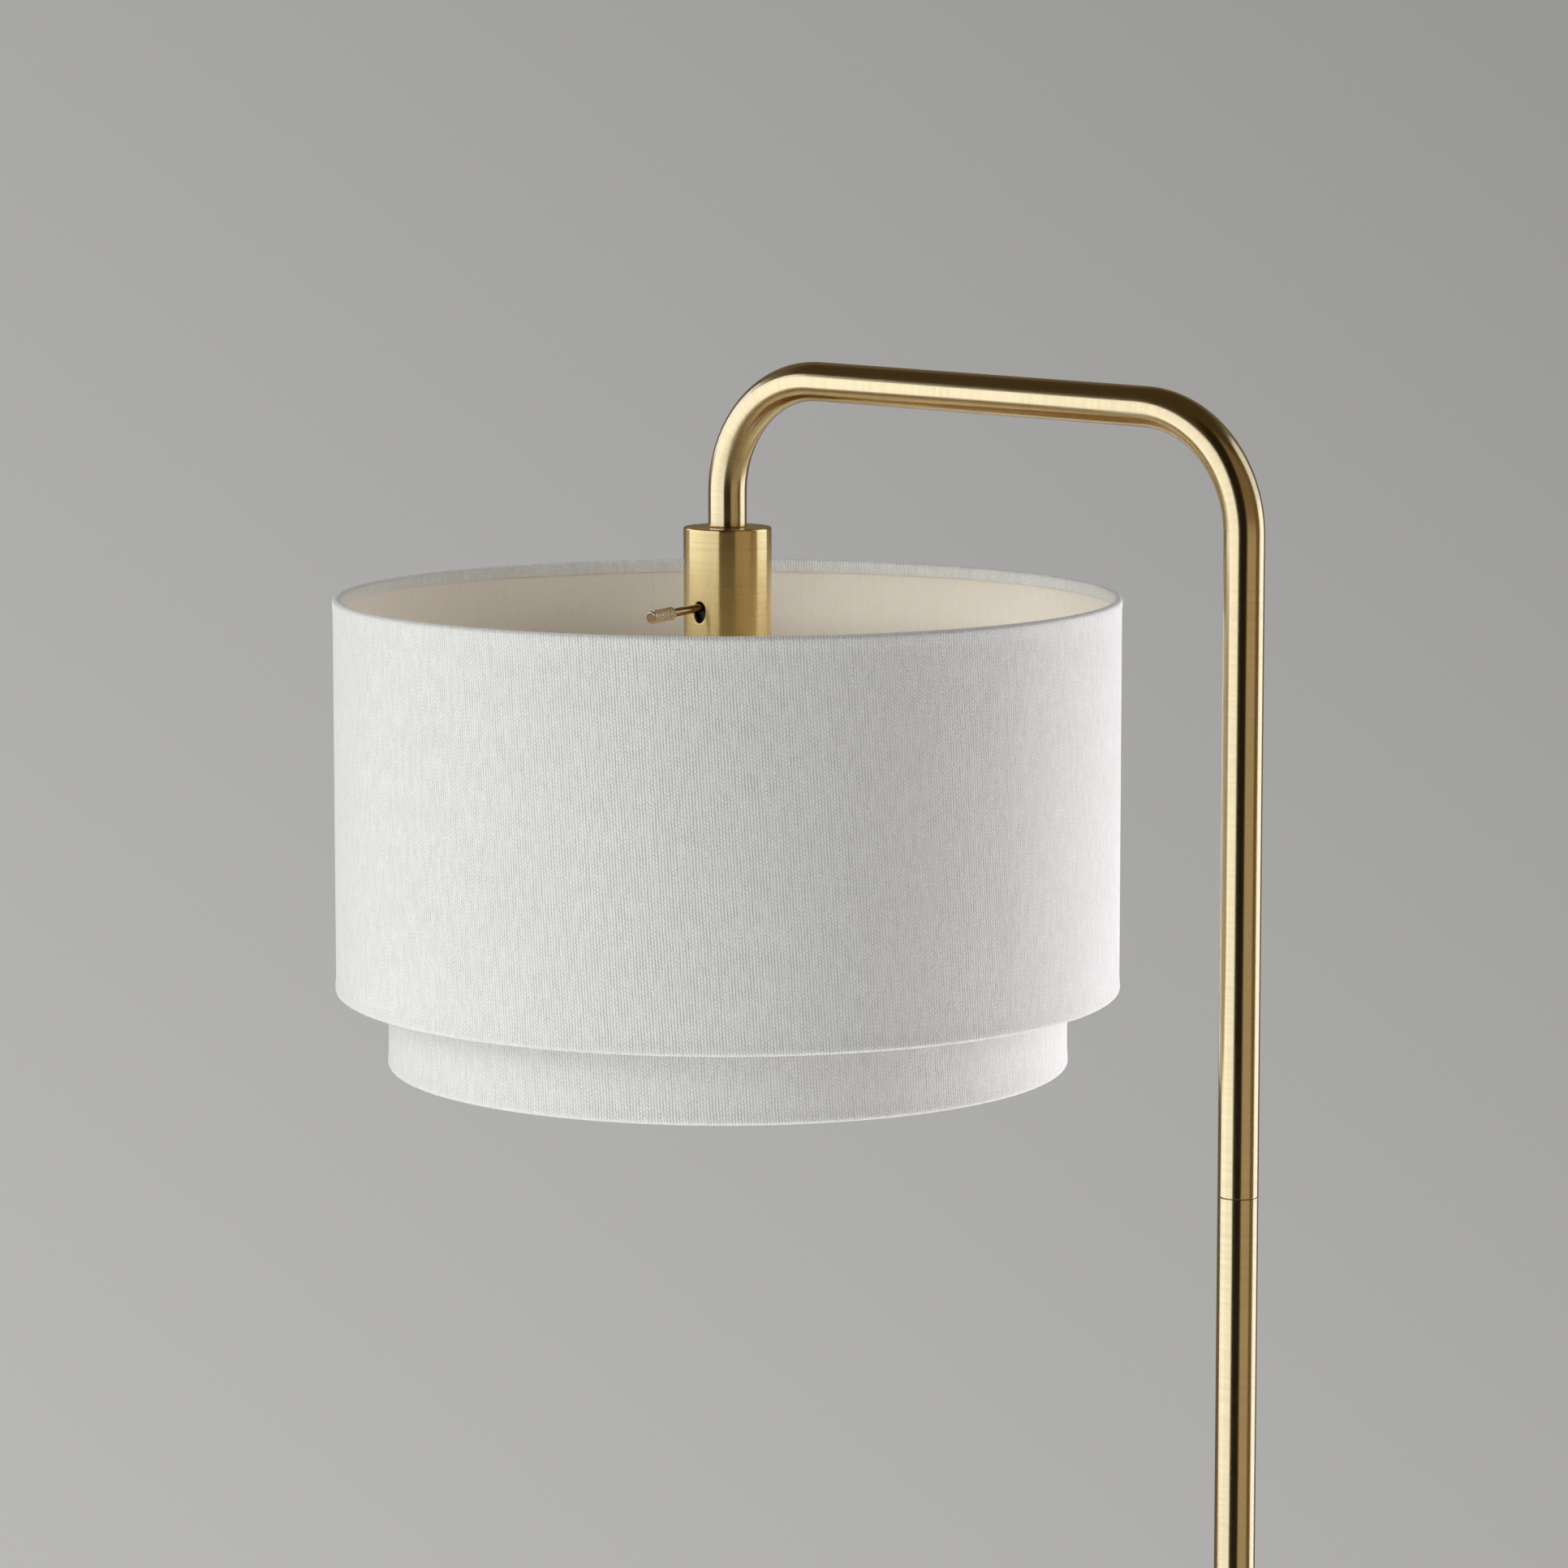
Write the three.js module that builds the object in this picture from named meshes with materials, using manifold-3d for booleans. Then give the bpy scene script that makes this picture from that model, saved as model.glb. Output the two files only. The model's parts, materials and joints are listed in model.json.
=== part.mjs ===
// Floor lamp with a bent tube arm and a two-tier drum shade.
// Millimetres, +Z up. The origin is on the floor at the centre of the round base, under the pole.
// The arm lies in the XZ plane and carries the shade towards -X; the switch key points along -Y.

import * as THREE from 'three';
import { mergeVertices } from 'three/addons/utils/BufferGeometryUtils.js';
import Module from 'manifold-3d';

const wasm = await Module();
wasm.setup();

// ---------------------------------------------------------------- driving dimensions

// Clearances between neighbouring pieces.
const SEAT_GAP = 0.3; // between two faces that rest on each other
const WIRE_GAP = 0.2; // between a frame wire and the hem rolled round it
const TURN_GAP = 0.25; // radial running clearance of the switch shaft
const ROTOR_GAP = 0.8; // between the switch rotor and its pocket

// Base.
const BASE_DIAMETER = 280;
const BASE_HEIGHT = 24; // floor to the top of the cover
const BASE_EDGE_RADIUS = 5;
const COVER_SHEET = 1.2;
const COVER_SKIRT_GAP = 1.5; // skirt edge above the floor
const PAD_THICKNESS = 3;
const PAD_INSET = 4; // pad edge inside the cover's outer edge
const WEIGHT_INSET = 0.8; // iron disc inside the cover's sheet
const WEIGHT_HOLLOW_DIAMETER = 36; // counterbore for the nut and washers
const WEIGHT_WEB = 6.5; // iron left above the counterbore
const CORD_CHANNEL_WIDTH = 16;
const CORD_CHANNEL_HEIGHT = 15;
const GROMMET_HEIGHT = 10.5; // bore centre above the floor
const GROMMET_BORE = 7;
const GROMMET_BODY = 10.4;
const GROMMET_FLANGE = 13.5;
const GROMMET_FLANGE_THICKNESS = 1.5;

// Hollow threaded rod that joins everything, with its nut and washers.
const THREAD_DIAMETER = 9.8;
const THREAD_BORE = 7;
const THREAD_CLEARANCE = 0.3; // radial, in every hole that the rod passes through
const NUT_ACROSS_FLATS = 16;
const NUT_THICKNESS = 6;
const FLAT_WASHER_DIAMETER = 28;
const FLAT_WASHER_THICKNESS = 1.5;
const LOCK_WASHER_DIAMETER = 17;
const LOCK_WASHER_THICKNESS = 2;
const LOCK_WASHER_SLIT_DEG = 14;
const ROD_END_PLAY = 1.2; // rod end to the pad below it

// Pole.
const TUBE_DIAMETER = 19;
const TUBE_WALL = 1.2;
const TUBE_END_CHAMFER = 0.25;
const SECTION_LENGTH = 399;
const SECTION_NAMES = ['pole_lower', 'pole_middle', 'pole_upper'];
const BUSH_HEIGHT = 16;
const BUSH_RECESS = 0.8; // bush below the end of its tube
const STUD_PLUG_HEIGHT = 14;
const STUD_REACH = 12; // stud thread below the end of its tube

// Arm.
const ARM_UPRIGHT = 362.8; // lower end to the corner of the centreline above the pole
const ARM_REACH = 309.7; // pole axis to shade axis
const ARM_RISE_DEG = 1.2; // the arm climbs a little towards the shade
const ARM_DROP = 74.7; // corner of the centreline above the shade to the cup
const ARM_BEND_RADIUS = 57;

// Socket cup and what hangs in it. Depths are measured down from the cup's top face.
const CUP_DIAMETER = 43.5;
const CUP_WALL = 1.2;
const CUP_TOP_THICKNESS = 1.5;
const CUP_EDGE_RADIUS = 0.9;
const CUP_LENGTH = 95;
const KEY_HOLE_WIDTH = 7.6;
const KEY_HOLE_HEIGHT = 10.6;
const KEY_HOLE_DEPTH = 41; // centre of the oval hole
const HEAD_ROD_RISE = 15; // threaded rod up into the arm
const CUP_WASHER_DIAMETER = 24;
const CUP_WASHER_THICKNESS = 1.2;
const CUP_NUT_THICKNESS = 5;
const SOCKET_CAP_DEPTH = 10.5;
const SOCKET_CAP_HEIGHT = 16.5;
const SOCKET_CAP_HUB_DIAMETER = 20;
const SOCKET_CAP_HUB_HEIGHT = 4;
const SOCKET_CAP_THREAD = 12; // depth of its threaded bore
const SWITCH_DIAMETER = 37;
const SWITCH_HEIGHT = 22.5;
const SOCKET_DIAMETER = 39.5;
const SOCKET_FLOOR = 26;
const SOCKET_MOUTH = 30;
const SHELL_DIAMETER = 28.8;
const SHELL_SHEET = 0.7;
const SHELL_SETBACK = 3; // shell edge above the socket's mouth
const SHELL_FLANGE_BORE = 24.6;
const CONTACT_WIDTH = 6;
const CONTACT_SHEET = 0.5;
const CONTACT_SPRING = 3.4; // how far the contact stands off the socket floor
const LONG_SCREW_SPACING = 19;
const LONG_SCREW_DIAMETER = 3;
const LONG_SCREW_HEAD_DIAMETER = 4.6;
const LONG_SCREW_HEAD_HEIGHT = 1.8;
const LONG_SCREW_GRIP = 5; // thread in the socket cap
const TERMINAL_SPACING = 14;
const TERMINAL_OFFSET = 10; // terminals behind the socket axis
const TERMINAL_HEAD_DIAMETER = 6;
const TERMINAL_HEAD_HEIGHT = 2;
const TERMINAL_SHANK_DIAMETER = 3.2;
const TERMINAL_SHANK_LENGTH = 6;
const TERMINAL_ROOM = 5; // height of the wiring room in the socket cap

// Switch key.
const KEY_DROOP_DEG = 3.4;
const KEY_PIVOT_DEPTH = 37.3;
const KEY_ROD_DIAMETER = 4.2;
const KEY_REACH = 58; // socket axis to the tip of the knob
const KEY_KNOB_DIAMETER = 6.4;
const KEY_KNOB_LENGTH = 16.2;
const KEY_KNOB_CHAMFER = 0.6;
const KEY_KNOB_SOCKET = 6; // how deep the rod goes into the knob
const KEY_KNURL_DEPTH = 0.3;
const KEY_KNURL_RIDGES = 18;
const ROTOR_DIAMETER = 11;
const ROTOR_LENGTH = 10;

// Shade frame and drums.
const WIRE_DIAMETER = 2.2;
const FITTER_DIAMETER = 56;
const FITTER_SHEET = 1.5;
const FITTER_LAP = 5; // spider arm over the fitter's edge
const SPIDER_ARMS = 3;
const SPIDER_START_DEG = 7.5;
const SPIDER_BEND_RADIUS = 6;
const SHADE_RING_DIAMETER = 54;
const SHADE_RING_HEIGHT = 9;
const SHADE_RING_FLANGE = 2;
const SHADE_RING_HUB_DIAMETER = 48;
const RIM_RISE = 60; // outer drum's upper edge above the spider arms
const OUTER_DRUM_DIAMETER = 389.5;
const OUTER_DRUM_HEIGHT = 196;
const INNER_DRUM_DIAMETER = 338;
const INNER_DRUM_SHOW = 37.5; // inner drum below the outer drum
const DRUM_WALL = 0.8;
const HEM_CLOTH = 0.4;
const HEM_HEIGHT = 7;
const HEM_EDGE = 1;

// Light bulb.
const BULB_TIP_DIAMETER = 9;
const BULB_TIP_HEIGHT = 1.6;
const BULB_INSULATOR_HEIGHT = 3.5;
const BULB_CAP_DIAMETER = 26;
const BULB_CAP_SHEET = 0.5;
const BULB_CAP_LENGTH = 25;
const BULB_CAP_SHOW = 0.6; // cap below the socket's mouth
const BULB_BODY_HEIGHT = 34;
const BULB_DIAMETER = 60;
const BULB_DOME_HEIGHT = 46;
const BULB_WALL = 1.5;

// Facets.
const SHADE_SIDES = 48;
const BASE_SIDES = 48;
const TUBE_SIDES = 16;
const CUP_SIDES = 28;
const SMALL_SIDES = 16;
const PIN_SIDES = 8;
const WIRE_SIDES = 5;
const BEND_STEPS = 8;

// ---------------------------------------------------------------- worked-out places

const radians = THREE.MathUtils.degToRad;
const tubeRadius = TUBE_DIAMETER / 2;
const tubeBoreRadius = tubeRadius - TUBE_WALL;
const plugRadius = tubeBoreRadius - SEAT_GAP;
const rodRadius = THREAD_DIAMETER / 2;
const rodHoleRadius = rodRadius + THREAD_CLEARANCE;

const baseRadius = BASE_DIAMETER / 2;
const coverUnderside = BASE_HEIGHT - COVER_SHEET;
const weightBottom = PAD_THICKNESS + SEAT_GAP;
const weightTop = coverUnderside - SEAT_GAP;
const hollowRoof = weightTop - WEIGHT_WEB;

const sectionPitch = SECTION_LENGTH + SEAT_GAP;
const armFoot = BASE_HEIGHT + SEAT_GAP + SECTION_NAMES.length * sectionPitch;
const armCornerHeight = armFoot + ARM_UPRIGHT;
const dropCornerHeight = armCornerHeight + ARM_REACH * Math.tan(radians(ARM_RISE_DEG));
const armTip = dropCornerHeight - ARM_DROP;
const cupTop = armTip - SEAT_GAP;

const cupRadius = CUP_DIAMETER / 2;
const switchTop = SOCKET_CAP_DEPTH + SOCKET_CAP_HEIGHT + SEAT_GAP;
const socketTop = switchTop + SWITCH_HEIGHT + SEAT_GAP;
const socketFloorFace = socketTop + SOCKET_FLOOR;
const contactFace = socketFloorFace + SEAT_GAP + CONTACT_SPRING;
const bulbTipTop = contactFace + SEAT_GAP;
const bulbInsulatorTop = bulbTipTop + BULB_TIP_HEIGHT + SEAT_GAP;
const bulbCapTop = bulbInsulatorTop + BULB_INSULATOR_HEIGHT + SEAT_GAP;
const bulbCapFoot = bulbCapTop + BULB_CAP_LENGTH;
const socketFoot = bulbCapFoot - BULB_CAP_SHOW;
const fitterTop = CUP_LENGTH + SEAT_GAP;
const shadeRingTop = fitterTop + FITTER_SHEET + SEAT_GAP;
const spiderDepth = fitterTop - SEAT_GAP - WIRE_DIAMETER / 2;

const wireRadius = WIRE_DIAMETER / 2;
const outerRim = -spiderDepth + RIM_RISE;
const outerFoot = outerRim - OUTER_DRUM_HEIGHT;
const innerRim = -spiderDepth - wireRadius - SEAT_GAP;
const innerFoot = outerFoot - INNER_DRUM_SHOW;

// ---------------------------------------------------------------- shape helpers

/** Revolves an outline of [radius, height] points about +Z; a ring's outline closes on itself. */
function revolve(outline, sides) {
  const points = outline.map(([radius, height]) => new THREE.Vector2(radius, height));
  const onAxis = outline[0][0] === 0;
  if (!onAxis) points.push(points[0].clone());
  return new THREE.LatheGeometry(points, sides).rotateX(Math.PI / 2);
}

/** A ring of rectangular section, or a disc when the bore is 0. */
function ring(outerRadius, boreRadius, bottom, top, sides) {
  const outside = [[outerRadius, bottom], [outerRadius, top]];
  return revolve([[boreRadius, bottom], ...outside, [boreRadius, top]], sides);
}

/** Points of a circular arc in the [radius, height] plane. */
function arc(centreRadius, centreHeight, radius, startDeg, endDeg, steps) {
  const points = [];
  for (let i = 0; i <= steps; i++) {
    const angle = radians(startDeg + ((endDeg - startDeg) * i) / steps);
    points.push([centreRadius + radius * Math.cos(angle), centreHeight + radius * Math.sin(angle)]);
  }
  return points;
}

/** A regular polygon as a closed path in the plane. */
function polygon(radius, sides, startDeg = 0) {
  const points = [];
  for (let i = 0; i < sides; i++) {
    const angle = radians(startDeg + (360 * i) / sides);
    points.push(new THREE.Vector2(radius * Math.cos(angle), radius * Math.sin(angle)));
  }
  return points;
}

/** A line of straight legs and round bends, stepped only where it bends. */
class BentLine extends THREE.Curve {
  constructor(corners, bendRadius) {
    super();
    const headings = corners.slice(1).map((corner, i) => corner.clone().sub(corners[i]).normalize());
    this.stations = [{ point: corners[0], tangent: headings[0] }];
    for (let i = 1; i < headings.length; i++) {
      const axis = headings[i - 1].clone().cross(headings[i]).normalize();
      const turn = headings[i - 1].angleTo(headings[i]);
      const setback = bendRadius * Math.tan(turn / 2);
      const start = corners[i].clone().addScaledVector(headings[i - 1], -setback);
      const centre = axis.clone().cross(headings[i - 1]).multiplyScalar(bendRadius).add(start);
      for (let step = 0; step <= BEND_STEPS; step++) {
        const angle = (turn * step) / BEND_STEPS;
        const point = start.clone().sub(centre).applyAxisAngle(axis, angle).add(centre);
        this.stations.push({ point, tangent: headings[i - 1].clone().applyAxisAngle(axis, angle) });
      }
    }
    this.stations.push({ point: corners.at(-1), tangent: headings.at(-1) });
    this.steps = this.stations.length - 1;
  }

  getPointAt(u, target = new THREE.Vector3()) {
    return target.copy(this.stations[Math.round(u * this.steps)].point);
  }

  getTangentAt(u, target = new THREE.Vector3()) {
    return target.copy(this.stations[Math.round(u * this.steps)].tangent);
  }
}

/** A round bar or tube along a bent line; a bore radius of 0 makes it solid. */
function bend(line, radius, boreRadius, sides) {
  const section = new THREE.Shape(polygon(radius, sides));
  if (boreRadius > 0) section.holes.push(new THREE.Path(polygon(boreRadius, sides)));
  return new THREE.ExtrudeGeometry(section, { steps: line.steps, extrudePath: line });
}

/** A flat shape given thickness upwards from a height. */
function plate(shape, bottom, thickness) {
  const geometry = new THREE.ExtrudeGeometry(shape, { depth: thickness, bevelEnabled: false });
  return geometry.translate(0, 0, bottom);
}

/** Turns a piece drawn along +Z so that it points along -Y. */
function alongKey(geometry) {
  return geometry.rotateX(Math.PI / 2);
}

function toSolid(geometry) {
  const bare = geometry.clone();
  bare.deleteAttribute('normal');
  bare.deleteAttribute('uv');
  const welded = mergeVertices(bare);
  const corners = [];
  for (let i = 0; i < welded.index.count; i += 3) {
    const [a, b, c] = [0, 1, 2].map((k) => welded.index.getX(i + k));
    if (a !== b && b !== c && c !== a) corners.push(a, b, c);
  }
  return new wasm.Manifold(new wasm.Mesh({
    numProp: 3,
    vertProperties: Float32Array.from(welded.attributes.position.array),
    triVerts: Uint32Array.from(corners),
  }));
}

/** Cuts the tools away from the base shape. */
function cut(base, tools) {
  let body = toSolid(base);
  for (const tool of tools) body = body.subtract(toSolid(tool));
  const mesh = body.getMesh();
  const geometry = new THREE.BufferGeometry();
  geometry.setAttribute('position', new THREE.BufferAttribute(mesh.vertProperties, mesh.numProp));
  geometry.setIndex(new THREE.BufferAttribute(mesh.triVerts, 1));
  geometry.computeVertexNormals();
  return geometry;
}

// ---------------------------------------------------------------- materials

const FINISHES = {
  brass: { color: 0xb0935a, metalness: 1, roughness: 0.32 },
  keyBrass: { color: 0xb9a070, metalness: 1, roughness: 0.25 },
  steel: { color: 0xb9bcc0, metalness: 1, roughness: 0.4 },
  iron: { color: 0x3f4144, metalness: 0.8, roughness: 0.7 },
  felt: { color: 0x2b2b2c, metalness: 0, roughness: 0.95 },
  rubber: { color: 0x1d1d1e, metalness: 0, roughness: 0.85 },
  phenolic: { color: 0x262321, metalness: 0, roughness: 0.45 },
  copper: { color: 0xb98a5a, metalness: 1, roughness: 0.35 },
  whiteWire: { color: 0xe9e7e1, metalness: 0, roughness: 0.5 },
  cloth: { color: 0xebebec, metalness: 0, roughness: 0.9 },
  bulbPlastic: { color: 0xf4f2ee, metalness: 0, roughness: 0.4 },
  diffuser: { color: 0xfbf8f0, metalness: 0, roughness: 0.5 },
};

function piece(name, finish, geometry) {
  const mesh = new THREE.Mesh(geometry, new THREE.MeshStandardMaterial(FINISHES[finish]));
  mesh.name = name;
  return mesh;
}

// ---------------------------------------------------------------- threaded hardware

function threadedRod(bottom, top) {
  return ring(rodRadius, THREAD_BORE / 2, bottom, top, SMALL_SIDES);
}

function hexNut(bottom, thickness) {
  const shape = new THREE.Shape(polygon(NUT_ACROSS_FLATS / 2 / Math.cos(Math.PI / 6), 6));
  shape.holes.push(new THREE.Path(polygon(rodHoleRadius, SMALL_SIDES)));
  return plate(shape, bottom, thickness);
}

function lockWasher(bottom) {
  const outer = polygon(LOCK_WASHER_DIAMETER / 2, SMALL_SIDES);
  const inner = polygon(rodHoleRadius, SMALL_SIDES);
  const slit = radians(LOCK_WASHER_SLIT_DEG / 2);
  const turned = (points) => {
    const centre = new THREE.Vector2();
    const start = points[0].clone().rotateAround(centre, slit);
    const end = points[0].clone().rotateAround(centre, -slit);
    return [start, ...points.slice(1), end];
  };
  const shape = new THREE.Shape([...turned(outer), ...turned(inner).reverse()]);
  return plate(shape, bottom, LOCK_WASHER_THICKNESS);
}

function screw(headRadius, headHeight, shankRadius, shankLength) {
  return revolve([
    [0, -headHeight],
    [headRadius * 0.8, -headHeight],
    [headRadius, -headHeight * 0.6],
    [headRadius, 0],
    [shankRadius, 0],
    [shankRadius, shankLength],
    [0, shankLength],
  ], PIN_SIDES);
}

// ---------------------------------------------------------------- base

function baseCover() {
  const inside = baseRadius - COVER_SHEET;
  const centreRadius = baseRadius - BASE_EDGE_RADIUS;
  const centreHeight = BASE_HEIGHT - BASE_EDGE_RADIUS;
  const shell = revolve([
    [inside, COVER_SKIRT_GAP],
    [baseRadius, COVER_SKIRT_GAP],
    ...arc(centreRadius, centreHeight, BASE_EDGE_RADIUS, 0, 90, 4),
    [rodHoleRadius, BASE_HEIGHT],
    [rodHoleRadius, coverUnderside],
    ...arc(centreRadius, centreHeight, BASE_EDGE_RADIUS - COVER_SHEET, 90, 0, 3),
  ], BASE_SIDES);
  const cordHole = ring(GROMMET_BODY / 2 + SEAT_GAP, 0, -BASE_EDGE_RADIUS, BASE_EDGE_RADIUS, SMALL_SIDES)
    .rotateY(Math.PI / 2)
    .translate(baseRadius, 0, GROMMET_HEIGHT);
  return cut(shell, [cordHole]);
}

function baseWeight() {
  const radius = baseRadius - COVER_SHEET - WEIGHT_INSET;
  const chamfer = BASE_EDGE_RADIUS;
  const disc = revolve([
    [WEIGHT_HOLLOW_DIAMETER / 2, weightBottom],
    [radius, weightBottom],
    [radius, weightTop - chamfer],
    [radius - chamfer, weightTop],
    [rodHoleRadius, weightTop],
    [rodHoleRadius, hollowRoof],
    [WEIGHT_HOLLOW_DIAMETER / 2, hollowRoof],
  ], BASE_SIDES);
  const channel = new THREE.BoxGeometry(baseRadius, CORD_CHANNEL_WIDTH, 2 * CORD_CHANNEL_HEIGHT)
    .translate(baseRadius / 2, 0, weightBottom);
  return cut(disc, [channel]);
}

/** Rubber bush that lines the hole where the cord leaves the base. */
function cordGrommet() {
  const bore = GROMMET_BORE / 2;
  const body = GROMMET_BODY / 2;
  const flange = GROMMET_FLANGE / 2;
  const outerFace = SEAT_GAP;
  const innerFace = -COVER_SHEET - 2 * SEAT_GAP;
  return revolve([
    [bore, innerFace - GROMMET_FLANGE_THICKNESS],
    [body + SEAT_GAP * 3, innerFace - GROMMET_FLANGE_THICKNESS],
    [body + SEAT_GAP * 3, innerFace],
    [body, innerFace],
    [body, outerFace],
    [flange, outerFace],
    [flange - 0.5, outerFace + GROMMET_FLANGE_THICKNESS],
    [bore, outerFace + GROMMET_FLANGE_THICKNESS],
  ], SMALL_SIDES).rotateY(Math.PI / 2).translate(baseRadius, 0, GROMMET_HEIGHT);
}

function buildBase() {
  const base = new THREE.Group();
  const flatWasherTop = hollowRoof - SEAT_GAP;
  const lockWasherTop = flatWasherTop - FLAT_WASHER_THICKNESS - SEAT_GAP;
  const nutTop = lockWasherTop - LOCK_WASHER_THICKNESS - SEAT_GAP;
  const padRadius = baseRadius - PAD_INSET;
  const rodBottom = PAD_THICKNESS + ROD_END_PLAY;
  const rodTop = BASE_HEIGHT + STUD_REACH;
  const flatWasherBottom = flatWasherTop - FLAT_WASHER_THICKNESS;
  const flatWasher = ring(FLAT_WASHER_DIAMETER / 2, rodHoleRadius, flatWasherBottom, flatWasherTop, SMALL_SIDES);
  base.add(
    piece('base_pad', 'felt', ring(padRadius, 0, 0, PAD_THICKNESS, BASE_SIDES)),
    piece('base_weight', 'iron', baseWeight()),
    piece('base_cover', 'brass', baseCover()),
    piece('base_rod', 'steel', threadedRod(rodBottom, rodTop)),
    piece('base_flat_washer', 'steel', flatWasher),
    piece('base_lock_washer', 'steel', lockWasher(lockWasherTop - LOCK_WASHER_THICKNESS)),
    piece('base_nut', 'steel', hexNut(nutTop - NUT_THICKNESS, NUT_THICKNESS)),
    piece('cord_grommet', 'rubber', cordGrommet()),
  );
  return base;
}

// ---------------------------------------------------------------- pole

/** A straight tube with its sharp edges broken, standing on height 0. */
function poleTube(length) {
  const edge = TUBE_END_CHAMFER;
  return revolve([
    [tubeBoreRadius, 0],
    [tubeRadius - edge, 0],
    [tubeRadius, edge],
    [tubeRadius, length - edge],
    [tubeRadius - edge, length],
    [tubeBoreRadius, length],
  ], TUBE_SIDES);
}

/** Threaded bush pressed into a tube end, from a height upwards. */
function threadedBush(bottom) {
  return ring(plugRadius, rodHoleRadius, bottom, bottom + BUSH_HEIGHT, TUBE_SIDES);
}

/** Plug in the foot of a tube with a hollow stud that screws into the bush below. */
function threadedStud() {
  const shoulder = SEAT_GAP;
  return revolve([
    [THREAD_BORE / 2, -STUD_REACH],
    [rodRadius, -STUD_REACH],
    [rodRadius, shoulder],
    [plugRadius, shoulder],
    [plugRadius, shoulder + STUD_PLUG_HEIGHT],
    [THREAD_BORE / 2, shoulder + STUD_PLUG_HEIGHT],
  ], TUBE_SIDES);
}

function buildPole() {
  const pole = new THREE.Group();
  pole.position.z = BASE_HEIGHT + SEAT_GAP;
  pole.add(piece('pole_foot_bush', 'steel', threadedBush(BUSH_RECESS)));
  SECTION_NAMES.forEach((name, i) => {
    const section = new THREE.Group();
    section.position.z = i * sectionPitch;
    section.add(
      piece(name, 'brass', poleTube(SECTION_LENGTH)),
      piece(`${name}_bush`, 'steel', threadedBush(SECTION_LENGTH - BUSH_RECESS - BUSH_HEIGHT)),
    );
    if (i > 0) section.add(piece(`${name}_stud`, 'steel', threadedStud()));
    pole.add(section);
  });
  return pole;
}

// ---------------------------------------------------------------- arm

function armTube() {
  const line = new BentLine([
    new THREE.Vector3(0, 0, armFoot),
    new THREE.Vector3(0, 0, armCornerHeight),
    new THREE.Vector3(-ARM_REACH, 0, dropCornerHeight),
    new THREE.Vector3(-ARM_REACH, 0, armTip),
  ], ARM_BEND_RADIUS);
  return bend(line, tubeRadius, tubeBoreRadius, TUBE_SIDES);
}

function buildArm() {
  const arm = new THREE.Group();
  const stud = piece('arm_stud', 'steel', threadedStud());
  stud.position.z = armFoot;
  const bush = piece('arm_end_bush', 'steel', threadedBush(armTip + BUSH_RECESS));
  bush.position.x = -ARM_REACH;
  arm.add(piece('arm_tube', 'brass', armTube()), stud, bush);
  return arm;
}

// ---------------------------------------------------------------- socket cup and socket

/** Brass cup: closed top with a rod hole, open foot, oval hole for the switch key. */
function socketCup() {
  const inside = cupRadius - CUP_WALL;
  const edgeCentre = cupRadius - CUP_EDGE_RADIUS;
  const shell = revolve([
    [inside, -CUP_LENGTH],
    [cupRadius, -CUP_LENGTH],
    ...arc(edgeCentre, -CUP_EDGE_RADIUS, CUP_EDGE_RADIUS, 0, 90, 3),
    [rodHoleRadius, 0],
    [rodHoleRadius, -CUP_TOP_THICKNESS],
    [inside, -CUP_TOP_THICKNESS],
  ], CUP_SIDES);
  const oval = new THREE.Shape();
  oval.absellipse(0, 0, KEY_HOLE_WIDTH / 2, KEY_HOLE_HEIGHT / 2, 0, 2 * Math.PI);
  const tool = new THREE.ExtrudeGeometry(oval, { depth: cupRadius, bevelEnabled: false });
  return cut(shell, [alongKey(tool).translate(0, -cupRadius / 2, -KEY_HOLE_DEPTH)]);
}

/** The two long screws' places, and the two terminals' places, about the socket axis. */
const longScrewPlaces = [-1, 1].map((side) => (side * LONG_SCREW_SPACING) / 2);
const terminalPlaces = [-1, 1].map((side) => (side * TERMINAL_SPACING) / 2);

function socketCap() {
  const top = -SOCKET_CAP_DEPTH;
  const bottom = top - SOCKET_CAP_HEIGHT;
  const radius = SWITCH_DIAMETER / 2;
  const hub = SOCKET_CAP_HUB_DIAMETER / 2;
  const shoulder = top - SOCKET_CAP_HUB_HEIGHT;
  const body = revolve([
    [THREAD_BORE / 2, bottom],
    [radius, bottom],
    [radius, shoulder - 3],
    [radius - 3, shoulder],
    [hub, shoulder],
    [hub, top],
    [rodHoleRadius, top],
    [rodHoleRadius, top - SOCKET_CAP_THREAD],
    [THREAD_BORE / 2, top - SOCKET_CAP_THREAD],
  ], CUP_SIDES);
  const tools = longScrewPlaces.map((x) => {
    const hole = ring(LONG_SCREW_DIAMETER / 2 + SEAT_GAP, 0, -1, LONG_SCREW_GRIP + SEAT_GAP, PIN_SIDES);
    return hole.translate(x, 0, bottom);
  });
  const roomWidth = TERMINAL_SPACING + 2 * TERMINAL_HEAD_DIAMETER;
  const room = new THREE.BoxGeometry(roomWidth, radius, 2 * TERMINAL_ROOM);
  tools.push(room.translate(0, TERMINAL_OFFSET - TERMINAL_HEAD_DIAMETER + radius / 2, bottom));
  return cut(body, tools);
}

const keyTilt = radians(KEY_DROOP_DEG);

/** Lays a shape made about the upright axis along the key's drooping axis. */
function onKeyAxis(geometry) {
  return alongKey(geometry).rotateX(keyTilt).translate(0, 0, -KEY_PIVOT_DEPTH);
}

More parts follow.
